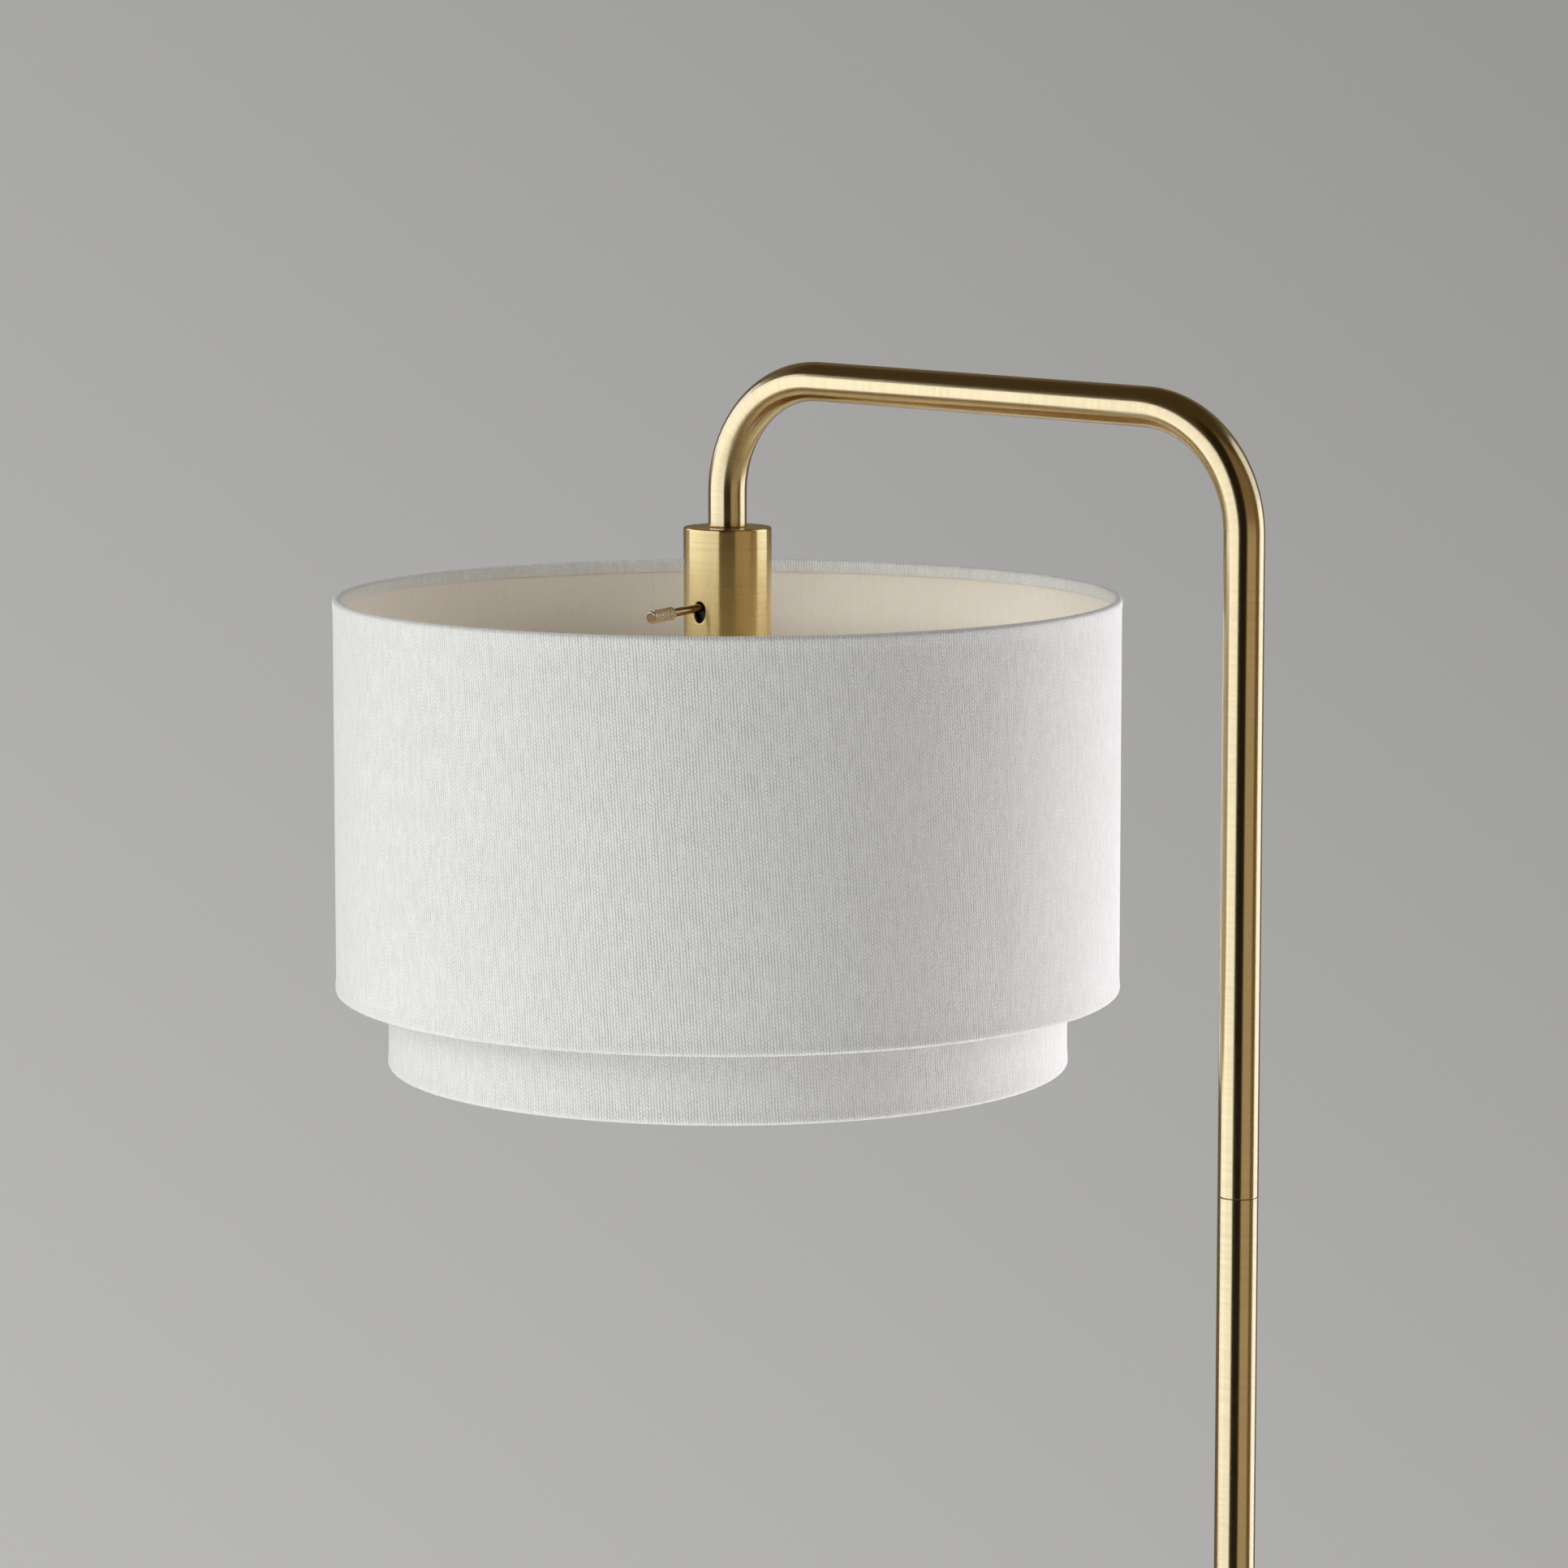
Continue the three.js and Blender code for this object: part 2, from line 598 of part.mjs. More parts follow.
function switchHousing() {
  const top = -switchTop;
  const bottom = top - SWITCH_HEIGHT;
  const radius = SWITCH_DIAMETER / 2;
  const pocketRadius = ROTOR_DIAMETER / 2 + ROTOR_GAP;
  const pocketHalf = ROTOR_LENGTH / 2 + ROTOR_GAP;
  const shaftRadius = KEY_ROD_DIAMETER / 2 + TURN_GAP;
  const tools = [
    onKeyAxis(ring(pocketRadius, 0, -pocketHalf, pocketHalf, SMALL_SIDES)),
    onKeyAxis(ring(shaftRadius, 0, 0, SWITCH_DIAMETER, SMALL_SIDES)),
  ];
  const mouthHeight = SWITCH_HEIGHT / 2;
  const mouth = new THREE.BoxGeometry(2 * pocketRadius, 2 * pocketHalf, 2 * mouthHeight);
  tools.push(mouth.translate(0, 0, bottom));
  for (const x of longScrewPlaces) {
    tools.push(ring(LONG_SCREW_DIAMETER / 2 + SEAT_GAP, 0, bottom - 1, top + 1, PIN_SIDES).translate(x, 0, 0));
  }
  const shankHole = TERMINAL_SHANK_DIAMETER / 2 + SEAT_GAP;
  for (const x of terminalPlaces) {
    const hole = ring(shankHole, 0, top - TERMINAL_SHANK_LENGTH - SEAT_GAP, top + 1, PIN_SIDES);
    tools.push(hole.translate(x, TERMINAL_OFFSET, 0));
  }
  return cut(ring(radius, 0, bottom, top, CUP_SIDES), tools);
}

function socketBody() {
  const top = -socketTop;
  const bottom = -socketFoot;
  const radius = SOCKET_DIAMETER / 2;
  const mouth = SOCKET_MOUTH / 2;
  const body = revolve([
    [0, -socketFloorFace],
    [mouth, -socketFloorFace],
    [mouth, bottom],
    [radius - 1, bottom],
    [radius, bottom + 1],
    [radius, top],
    [0, top],
  ], CUP_SIDES);
  const holes = longScrewPlaces.map((x) => {
    const hole = ring(LONG_SCREW_DIAMETER / 2 + SEAT_GAP, 0, -socketFloorFace - 1, top + 1, PIN_SIDES);
    return hole.translate(x, 0, 0);
  });
  return cut(body, holes);
}

/** Lamp-holder shell: a thin sleeve with a flange against the socket floor. */
function screwShell() {
  const radius = SHELL_DIAMETER / 2;
  const top = -socketFloorFace - SEAT_GAP;
  const edge = -socketFoot + SHELL_SETBACK;
  return revolve([
    [radius - SHELL_SHEET, edge],
    [radius, edge],
    [radius, top],
    [SHELL_FLANGE_BORE / 2, top],
    [SHELL_FLANGE_BORE / 2, top - SHELL_SHEET],
    [radius - SHELL_SHEET, top - SHELL_SHEET],
  ], CUP_SIDES);
}

/** Spring leaf folded back under itself, so that it presses on the bulb's tip. */
function centreContact() {
  const top = -socketFloorFace - SEAT_GAP;
  const low = -contactFace;
  const half = CONTACT_WIDTH / 2;
  const sheet = CONTACT_SHEET;
  const corners = [
    [-half, top], [half, top], [half + 1, (top + low) / 2], [half - 1, low], [-1, low],
    [-1, low + sheet], [half - 1 - sheet, low + sheet], [half + 1 - sheet, (top + low) / 2],
    [half - sheet, top - sheet], [-half, top - sheet],
  ];
  const shape = new THREE.Shape(corners.map(([x, z]) => new THREE.Vector2(x, z)));
  return plate(shape, -half, CONTACT_WIDTH).rotateX(Math.PI / 2);
}

function longScrew(x) {
  const headFace = socketFloorFace + SEAT_GAP;
  const gripTop = SOCKET_CAP_DEPTH + SOCKET_CAP_HEIGHT - LONG_SCREW_GRIP;
  const length = headFace - gripTop;
  const headRadius = LONG_SCREW_HEAD_DIAMETER / 2;
  return screw(headRadius, LONG_SCREW_HEAD_HEIGHT, LONG_SCREW_DIAMETER / 2, length).translate(x, 0, -headFace);
}

function terminalScrew(x) {
  const headRadius = TERMINAL_HEAD_DIAMETER / 2;
  const shankRadius = TERMINAL_SHANK_DIAMETER / 2;
  const geometry = screw(headRadius, TERMINAL_HEAD_HEIGHT, shankRadius, TERMINAL_SHANK_LENGTH);
  return geometry.rotateX(Math.PI).translate(x, TERMINAL_OFFSET, -switchTop + SEAT_GAP);
}

function buildSocket() {
  const socket = new THREE.Group();
  const washerTop = -CUP_TOP_THICKNESS - SEAT_GAP;
  const nutTop = washerTop - CUP_WASHER_THICKNESS - SEAT_GAP;
  const rodBottom = -SOCKET_CAP_DEPTH - SOCKET_CAP_THREAD + SEAT_GAP;
  const washerBottom = washerTop - CUP_WASHER_THICKNESS;
  const washer = ring(CUP_WASHER_DIAMETER / 2, rodHoleRadius, washerBottom, washerTop, SMALL_SIDES);
  socket.add(
    piece('socket_cup', 'brass', socketCup()),
    piece('head_rod', 'steel', threadedRod(rodBottom, HEAD_ROD_RISE)),
    piece('cup_washer', 'steel', washer),
    piece('cup_nut', 'steel', hexNut(nutTop - CUP_NUT_THICKNESS, CUP_NUT_THICKNESS)),
    piece('socket_cap', 'phenolic', socketCap()),
    piece('switch_housing', 'phenolic', switchHousing()),
    piece('socket_body', 'phenolic', socketBody()),
    piece('screw_shell', 'copper', screwShell()),
    piece('centre_contact', 'copper', centreContact()),
    piece('socket_screw_left', 'steel', longScrew(longScrewPlaces[0])),
    piece('socket_screw_right', 'steel', longScrew(longScrewPlaces[1])),
    piece('terminal_screw_live', 'copper', terminalScrew(terminalPlaces[0])),
    piece('terminal_screw_neutral', 'steel', terminalScrew(terminalPlaces[1])),
  );
  return socket;
}

// ---------------------------------------------------------------- switch key

/** Knurled knob: a ridged grip between two plain chamfered ends, bored for the rod. */
function keyKnob() {
  const radius = KEY_KNOB_DIAMETER / 2;
  const end = KEY_REACH;
  const start = end - KEY_KNOB_LENGTH;
  const ridges = [];
  for (let i = 0; i < KEY_KNURL_RIDGES; i++) {
    const [peak, valley] = [0, 180 / KEY_KNURL_RIDGES].map((shift) => (360 * i) / KEY_KNURL_RIDGES + shift);
    ridges.push(polygon(radius, 1, peak)[0], polygon(radius - KEY_KNURL_DEPTH, 1, valley)[0]);
  }
  const grip = plate(new THREE.Shape(ridges), start, KEY_KNOB_LENGTH);
  const boreRadius = KEY_ROD_DIAMETER / 2 + SEAT_GAP;
  const bore = ring(boreRadius, 0, start - 1, start + KEY_KNOB_SOCKET + SEAT_GAP, PIN_SIDES);
  const outside = 2 * radius;
  const chamfer = KEY_KNOB_CHAMFER;
  const trims = [[start, -1], [end, 1]].map(([face, way]) => {
    const tapered = [[radius - chamfer, face], [outside, face - way * (outside - radius + chamfer)]];
    const outline = [...tapered, [outside, face + way], [radius - chamfer, face + way]];
    return revolve(way > 0 ? outline : outline.reverse(), SMALL_SIDES);
  });
  return alongKey(cut(grip, [bore, ...trims]));
}

function buildSwitchKey() {
  const key = new THREE.Group();
  key.position.z = -KEY_PIVOT_DEPTH;
  key.rotation.x = keyTilt;
  const rodRadiusOfKey = KEY_ROD_DIAMETER / 2;
  const half = ROTOR_LENGTH / 2;
  const rodTip = KEY_REACH - KEY_KNOB_LENGTH + KEY_KNOB_SOCKET;
  const rotor = ring(ROTOR_DIAMETER / 2, rodRadiusOfKey + SEAT_GAP, -half, half, SMALL_SIDES);
  key.add(
    piece('switch_rotor', 'phenolic', alongKey(rotor)),
    piece('key_rod', 'keyBrass', alongKey(ring(rodRadiusOfKey, 0, -half, rodTip, PIN_SIDES))),
    piece('key_knob', 'keyBrass', keyKnob()),
  );
  return key;
}

// ---------------------------------------------------------------- shade

/** Middle of the wire inside a hem, measured in from the drum's outside. */
const hemWireInset = DRUM_WALL + WIRE_GAP + wireRadius;
/** Middle of that wire, measured from the drum's edge. */
const hemWireDepth = HEM_CLOTH + WIRE_GAP + wireRadius;

/** Stiff cloth drum, its edges rolled over the frame wires and tucked in behind them. */
function drum(radius, top, bottom) {
  const wall = radius - DRUM_WALL;
  const pocket = radius - hemWireInset - wireRadius - WIRE_GAP;
  const inside = pocket - HEM_CLOTH;
  const hemEnd = HEM_HEIGHT;
  return revolve([
    [inside, bottom + hemEnd],
    [inside, bottom + HEM_EDGE],
    [inside + HEM_EDGE, bottom],
    [radius - HEM_EDGE, bottom],
    [radius, bottom + HEM_EDGE],
    [radius, top - HEM_EDGE],
    [radius - HEM_EDGE, top],
    [inside + HEM_EDGE, top],
    [inside, top - HEM_EDGE],
    [inside, top - hemEnd],
    [pocket, top - hemEnd],
    [pocket, top - HEM_CLOTH],
    [wall, top - HEM_CLOTH],
    [wall, bottom + HEM_CLOTH],
    [pocket, bottom + HEM_CLOTH],
    [pocket, bottom + hemEnd],
  ], SHADE_SIDES);
}

function hemWire(drumRadius, height) {
  const geometry = new THREE.TorusGeometry(drumRadius - hemWireInset, wireRadius, WIRE_SIDES, SHADE_SIDES);
  return geometry.translate(0, 0, height);
}

/** Spider arm: out from the fitter, then up inside the outer drum to its top wire. */
function spiderArm() {
  const inner = FITTER_DIAMETER / 2 - FITTER_LAP;
  const outer = OUTER_DRUM_DIAMETER / 2 - hemWireInset;
  const upperEnd = outerRim - hemWireDepth - wireRadius - SEAT_GAP;
  const line = new BentLine([
    new THREE.Vector3(inner, 0, -spiderDepth),
    new THREE.Vector3(outer, 0, -spiderDepth),
    new THREE.Vector3(outer, 0, upperEnd),
  ], SPIDER_BEND_RADIUS);
  return bend(line, wireRadius, 0, WIRE_SIDES);
}

/** The arms stand on the drum's facet corners, where its wall is furthest out. */
function spiderArmAngle(i) {
  const facet = 360 / SHADE_SIDES;
  const wanted = SPIDER_START_DEG + (360 * i) / SPIDER_ARMS;
  return radians(Math.round(wanted / facet) * facet);
}

/** Threaded ring that clamps the fitter under the cup. */
function shadeRing() {
  const bore = SOCKET_DIAMETER / 2 + SEAT_GAP;
  const flange = SHADE_RING_DIAMETER / 2;
  const hub = SHADE_RING_HUB_DIAMETER / 2;
  const top = -shadeRingTop;
  return revolve([
    [bore, top - SHADE_RING_HEIGHT],
    [hub, top - SHADE_RING_HEIGHT],
    [hub, top - SHADE_RING_FLANGE],
    [flange, top - SHADE_RING_FLANGE],
    [flange, top],
    [bore, top],
  ], CUP_SIDES);
}

function buildShade() {
  const shade = new THREE.Group();
  const outer = OUTER_DRUM_DIAMETER / 2;
  const inner = INNER_DRUM_DIAMETER / 2;
  const fitterBore = SOCKET_DIAMETER / 2 + SEAT_GAP;
  const fitterBottom = -fitterTop - FITTER_SHEET;
  const fitter = ring(FITTER_DIAMETER / 2, fitterBore, fitterBottom, -fitterTop, CUP_SIDES);
  shade.add(
    piece('shade_fitter', 'whiteWire', fitter),
    piece('shade_ring', 'phenolic', shadeRing()),
    piece('outer_drum', 'cloth', drum(outer, outerRim, outerFoot)),
    piece('outer_top_wire', 'whiteWire', hemWire(outer, outerRim - hemWireDepth)),
    piece('outer_bottom_wire', 'whiteWire', hemWire(outer, outerFoot + hemWireDepth)),
    piece('inner_drum', 'cloth', drum(inner, innerRim, innerFoot)),
    piece('inner_top_wire', 'whiteWire', hemWire(inner, innerRim - hemWireDepth)),
    piece('inner_bottom_wire', 'whiteWire', hemWire(inner, innerFoot + hemWireDepth)),
  );
  for (let i = 0; i < SPIDER_ARMS; i++) {
    const arm = piece(`spider_arm_${i + 1}`, 'whiteWire', spiderArm());
    arm.rotation.z = spiderArmAngle(i);
    shade.add(arm);
  }
  return shade;
}

// ---------------------------------------------------------------- bulb

function buildBulb() {
  const bulb = new THREE.Group();
  const capRadius = BULB_CAP_DIAMETER / 2;
  const neckRadius = capRadius - BULB_CAP_SHEET - SEAT_GAP;
  const tipTop = -bulbTipTop;
  const insulatorTop = -bulbInsulatorTop;
  const capTop = -bulbCapTop;
  const capFoot = -bulbCapFoot;
  const domeRadius = BULB_DIAMETER / 2;
  const bodyTop = capFoot - SEAT_GAP;
  const bodyFoot = bodyTop - BULB_BODY_HEIGHT;
  const domeTop = bodyFoot - SEAT_GAP;
  const tipRadius = BULB_TIP_DIAMETER / 2;
  const insulator = revolve([
    [0, insulatorTop - BULB_INSULATOR_HEIGHT],
    [capRadius - 0.5, insulatorTop - BULB_INSULATOR_HEIGHT],
    [tipRadius, insulatorTop],
    [0, insulatorTop],
  ], SMALL_SIDES);
  const screwCap = ring(capRadius, capRadius - BULB_CAP_SHEET, capFoot, capTop, SMALL_SIDES);
  const body = revolve([
    [neckRadius - BULB_WALL, capTop],
    [neckRadius - BULB_WALL, bodyTop - 6],
    [domeRadius - BULB_WALL, bodyFoot],
    [domeRadius, bodyFoot],
    [domeRadius - 5, bodyTop - BULB_BODY_HEIGHT / 2],
    [capRadius + 1, bodyTop],
    [neckRadius, bodyTop],
    [neckRadius, capTop],
  ], SMALL_SIDES);
  const domeSteps = 6;
  const bowl = (radius, depth, startDeg, endDeg) => arc(0, 0, 1, startDeg, endDeg, domeSteps)
    .map(([across, down]) => [radius * across, domeTop + depth * down]);
  const outside = bowl(domeRadius, BULB_DOME_HEIGHT, -90, 0);
  const insideWall = bowl(domeRadius - BULB_WALL, BULB_DOME_HEIGHT - BULB_WALL, 0, -90);
  outside[0][0] = 0;
  insideWall[domeSteps][0] = 0;
  bulb.add(
    piece('bulb_tip', 'copper', ring(tipRadius, 0, tipTop - BULB_TIP_HEIGHT, tipTop, SMALL_SIDES)),
    piece('bulb_insulator', 'phenolic', insulator),
    piece('bulb_screw_cap', 'steel', screwCap),
    piece('bulb_body', 'bulbPlastic', body),
    piece('bulb_dome', 'diffuser', revolve([...outside, ...insideWall], SMALL_SIDES)),
  );
  return bulb;
}

// ---------------------------------------------------------------- lamp

const head = new THREE.Group();
head.position.set(-ARM_REACH, 0, cupTop);
head.add(buildSocket(), buildSwitchKey(), buildShade(), buildBulb());

const lamp = new THREE.Group();
lamp.name = 'arc_floor_lamp';
lamp.add(buildBase(), buildPole(), buildArm(), head);

export default lamp;
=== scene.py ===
"""Floor lamp with a bent brass tube arm and a two-tier cloth shade.

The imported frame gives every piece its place. Shapes are drawn in millimetres, and a mesh is in metres.
"""

import json
import math

import bmesh
import bpy
from mathutils import Matrix, Vector


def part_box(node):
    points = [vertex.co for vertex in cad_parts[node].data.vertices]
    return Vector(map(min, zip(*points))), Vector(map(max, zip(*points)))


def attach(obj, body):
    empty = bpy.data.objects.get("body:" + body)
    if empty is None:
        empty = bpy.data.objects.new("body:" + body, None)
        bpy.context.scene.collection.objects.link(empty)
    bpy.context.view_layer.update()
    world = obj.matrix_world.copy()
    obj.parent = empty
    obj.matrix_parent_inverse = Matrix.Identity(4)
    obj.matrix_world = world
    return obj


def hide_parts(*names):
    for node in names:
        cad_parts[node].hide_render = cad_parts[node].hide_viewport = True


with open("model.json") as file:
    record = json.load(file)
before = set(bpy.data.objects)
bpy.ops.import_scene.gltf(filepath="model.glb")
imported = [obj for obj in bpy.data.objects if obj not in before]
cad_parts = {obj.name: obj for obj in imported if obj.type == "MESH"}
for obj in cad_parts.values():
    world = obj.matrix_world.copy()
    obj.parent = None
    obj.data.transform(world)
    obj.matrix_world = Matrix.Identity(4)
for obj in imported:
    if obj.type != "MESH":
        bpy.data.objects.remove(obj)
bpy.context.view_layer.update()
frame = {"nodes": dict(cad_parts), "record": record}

MM = 0.001
UP = Vector((0, 0, 1))


def box_mm(node_name):
    low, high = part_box(node_name)
    return low / MM, high / MM


# ---------------------------------------------------------------- sizes, in millimetres

SHADE_X = (box_mm("socket_cup")[0].x + box_mm("socket_cup")[1].x) / 2
TUBE_RADIUS = 9.5
TUBE_WALL = 1.2
TUBE_EDGE = 0.18  # width of the broken edges at the ends of the tubes
BEND_RADIUS = 57
ARM_FOOT = box_mm("arm_tube")[0].z
ARM_UPRIGHT = 362.8  # corner of the tube's middle line above its foot
ARM_RISE = 6.49  # how much the arm climbs toward the shade
ARM_DROP = 74.7  # corner above the shade down to the cup
ARM_CORNERS = [
    Vector((0, 0, ARM_FOOT)),
    Vector((0, 0, ARM_FOOT + ARM_UPRIGHT)),
    Vector((SHADE_X, 0, ARM_FOOT + ARM_UPRIGHT + ARM_RISE)),
    Vector((SHADE_X, 0, ARM_FOOT + ARM_UPRIGHT + ARM_RISE - ARM_DROP)),
]

CLOTH = 0.4  # thickness of the shade's cloth
LINER = 0.35
WALL = 0.8  # cloth, paste and liner together
ROLL = 1.9  # radius of the cloth roll over a frame wire
ROLL_SWELL = 0.35  # how far a roll stands out past the drum's wall
HEM = 6.8
LAP = 12  # width of the pasted lap seam
LINER_LAP = 9  # and of the liner's
LAP_TURN = math.radians(142)  # the lap seams face away from the room

SEAT_GAP = 0.3  # between two pieces that rest on each other
BRACE = 0.6  # distance of the extra ring that keeps a long wall straight beside a rounded edge
WELD = 0.001 * MM  # points this close become one; in metres
TUBE_SIDES = 64
CUP_SIDES = 96
DRUM_SIDES = 240
BASE_SIDES = 160

# ---------------------------------------------------------------- shape helpers


def arc(centre, radius, start, end, steps=6):
    """Points of a circular arc in the (radius, height) plane, angles in degrees."""
    points = []
    for i in range(steps + 1):
        angle = math.radians(start + (end - start) * i / steps)
        points.append((centre[0] + radius * math.cos(angle), centre[1] + radius * math.sin(angle)))
    return points


def braced(outline, closed=True):
    """Adds a point near both ends of each long side, to keep the shading of its rounded edges off it."""
    points = []
    for i, start in enumerate(outline):
        points.append(start)
        if i == len(outline) - 1 and not closed:
            break
        end = outline[(i + 1) % len(outline)]
        length = math.dist(start, end)
        if length > 4 * BRACE:
            for share in (BRACE / length, 1 - BRACE / length):
                points.append(tuple(a + (b - a) * share for a, b in zip(start, end)))
    return points


def band(inner, outer, foot, top):
    """Outline of a plain ring, or of a disc where the inner radius is 0."""
    return [(inner, foot), (outer, foot), (outer, top), (inner, top)]


def spun_profile(outline, sides, closed, angle=math.tau):
    shape = bmesh.new()
    points = braced(outline, closed)
    verts = [shape.verts.new((radius * MM, 0, height * MM)) for radius, height in points]
    edges = [shape.edges.new(pair) for pair in zip(verts, verts[1:])]
    if closed:
        edges.append(shape.edges.new((verts[-1], verts[0])))
    bmesh.ops.spin(shape, geom=verts + edges, cent=(0, 0, 0), axis=UP, angle=angle, steps=sides,
                   use_merge=angle == math.tau)
    bmesh.ops.remove_doubles(shape, verts=shape.verts, dist=WELD)
    return shape


def turned(outline, sides, angle=math.tau):
    """Spins an outline of (radius, height) points; one that starts on the axis isn't closed."""
    shape = spun_profile(outline, sides, outline[0][0] > 0, angle)
    if angle < math.tau:
        bmesh.ops.holes_fill(shape, edges=[e for e in shape.edges if e.is_boundary], sides=0)
    bmesh.ops.recalc_face_normals(shape, faces=shape.faces)
    return shape


def break_edges(shape, width, sharper_than=40, segments=3, where=None):
    """Rounds the sharp edges of a shape."""
    limit = math.radians(sharper_than)
    sharp = [e for e in shape.edges if len(e.link_faces) == 2 and e.calc_face_angle() > limit]
    if where:
        sharp = [e for e in sharp if all(where(v.co / MM) for v in e.verts)]
    bmesh.ops.bevel(shape, geom=sharp, offset=width * MM, offset_type="OFFSET", affect="EDGES",
                    segments=segments, profile=0.5, material=-1, clamp_overlap=True)
    return shape


def thickened(line, thickness):
    """A closed outline that gives an open line a thickness on its right-hand side."""
    inner = []
    for i, point in enumerate(line):
        before, after = line[max(i - 1, 0)], line[min(i + 1, len(line) - 1)]
        along = Vector((after[0] - before[0], after[1] - before[1])).normalized()
        inner.append((point[0] + along.y * thickness, point[1] - along.x * thickness))
    return line + inner[::-1]


def bent_line(corners, radius):
    """Straight runs and bends of a line with rounded corners."""
    runs = []
    start = corners[0]
    for before, corner, after in zip(corners, corners[1:], corners[2:]):
        incoming = (corner - before).normalized()
        outgoing = (after - corner).normalized()
        turn = incoming.angle(outgoing)
        axis = incoming.cross(outgoing).normalized()
        entry = corner - incoming * radius * math.tan(turn / 2)
        centre = entry + axis.cross(incoming) * radius
        runs.append({"from": start, "to": entry})
        runs.append({"from": entry, "centre": centre, "axis": axis, "turn": turn})
        start = corner + outgoing * radius * math.tan(turn / 2)
    runs.append({"from": start, "to": corners[-1]})
    return runs


def swept(corners, bend_radius, radius, sides, steps=24):
    """A closed round bar along a bent line."""
    shape = bmesh.new()
    start_turn = UP.rotation_difference(corners[1] - corners[0]).to_matrix().to_4x4()
    place = Matrix.Translation(corners[0] * MM) @ start_turn
    bmesh.ops.create_circle(shape, segments=sides, radius=radius * MM, cap_ends=False, matrix=place)
    ring = shape.edges[:]
    for run in bent_line(corners, bend_radius):
        if "to" in run:
            span = run["to"] - run["from"]
            for length in (BRACE, span.length - 2 * BRACE, BRACE):
                grown = bmesh.ops.extrude_edge_only(shape, edges=ring)["geom"]
                ends = [g for g in grown if isinstance(g, bmesh.types.BMVert)]
                bmesh.ops.translate(shape, verts=ends, vec=span.normalized() * length * MM)
                ring = [g for g in grown if isinstance(g, bmesh.types.BMEdge) and set(g.verts) <= set(ends)]
        else:
            spun = bmesh.ops.spin(shape, geom=ring + list({v for e in ring for v in e.verts}),
                                  cent=run["centre"] * MM, axis=run["axis"], angle=run["turn"], steps=steps)
            last = {g for g in spun["geom_last"] if isinstance(g, bmesh.types.BMVert)}
            ring = [e for e in shape.edges if set(e.verts) <= last]
    bmesh.ops.remove_doubles(shape, verts=shape.verts, dist=WELD)
    bmesh.ops.holes_fill(shape, edges=[e for e in shape.edges if e.is_boundary], sides=0)
    bmesh.ops.recalc_face_normals(shape, faces=shape.faces)
    return shape


def tube_measure(corners, bend_radius):
    """A function from a point on a bent tube to its length along it and its turn round it."""
    runs = bent_line(corners, bend_radius)
    across = (corners[1] - corners[0]).cross(corners[2] - corners[1]).normalized()

    def measure(point):
        best, travelled = None, 0
        for run in runs:
            if "to" in run:
                span = run["to"] - run["from"]
                heading, run_length = span.normalized(), span.length
                share = min(max((point - run["from"]).dot(span) / span.length_squared, 0), 1)
                near = run["from"] + span * share
            else:
                spoke = run["from"] - run["centre"]
                flat = point - run["centre"]
                flat = flat - run["axis"] * flat.dot(run["axis"])
                angle = math.atan2(spoke.cross(flat).dot(run["axis"]), spoke.dot(flat))
                run_length = run["turn"] * bend_radius
                share = min(max(angle / run["turn"], 0), 1)
                spoke = Matrix.Rotation(run["turn"] * share, 3, run["axis"]) @ spoke
                near, heading = run["centre"] + spoke, run["axis"].cross(spoke).normalized()
            gap = point - near
            if best is None or gap.length < best[0] - 1e-6:
                turn = math.atan2(gap.dot(across), gap.dot(across.cross(heading)))
                best = (gap.length, travelled + run_length * share, turn)
            travelled += run_length
        return best[1:]
    return measure


def upright_measure(point):
    """Height, and turn about the upright axis."""
    return point.z, math.atan2(point.y, point.x)


def drawn_measure(point):
    """Way over the wall and top of a drawn or spun cover, and turn about the upright axis."""
    return point.z - math.hypot(point.x, point.y), math.atan2(point.y, point.x)


def profile_measure(line):
    """A function from a point of a turned shape to its length along the profile and its turn."""
    known = {}

    def length_at(place):
        flat = Vector(place)
        best, travelled = None, 0
        for start, end in zip(line, line[1:]):
            start, span = Vector(start), Vector(end) - Vector(start)
            share = min(max((flat - start).dot(span) / span.length_squared, 0), 1)
            gap = (flat - start - span * share).length
            if best is None or gap < best[0]:
                best = (gap, travelled + span.length * share)
            travelled += span.length
        return best[1]

    def measure(point):
        place = (round(math.hypot(point.x, point.y), 2), round(point.z, 2))
        if place not in known:
            known[place] = length_at(place)
        return known[place], math.atan2(point.y, point.x)
    return measure


def wrap(shape, radius, measure, seam=0):
    """Coordinates that follow the surface, in metres: round the piece, and along it."""
    layer = shape.loops.layers.uv.new("wrap")
    measured = {vert: measure(vert.co / MM) for vert in shape.verts}
    for face in shape.faces:
        turns = [(measured[vert][1] - seam) % math.tau for vert in face.verts]
        if max(turns) - min(turns) > math.pi:
            turns = [turn + math.tau if turn < math.pi else turn for turn in turns]
        for loop, turn in zip(face.loops, turns):
            loop[layer].uv = (turn * radius * MM, measured[loop.vert][0] * MM)
    return shape


def scene_object(name, data):
    made = bpy.data.objects.new(name, data)
    bpy.context.scene.collection.objects.link(made)
    return made


def mesh_object(name, shape, material):
    mesh = bpy.data.meshes.new(name)
    shape.to_mesh(mesh)
    shape.free()
    mesh.materials.append(material)
    return scene_object(name, mesh)


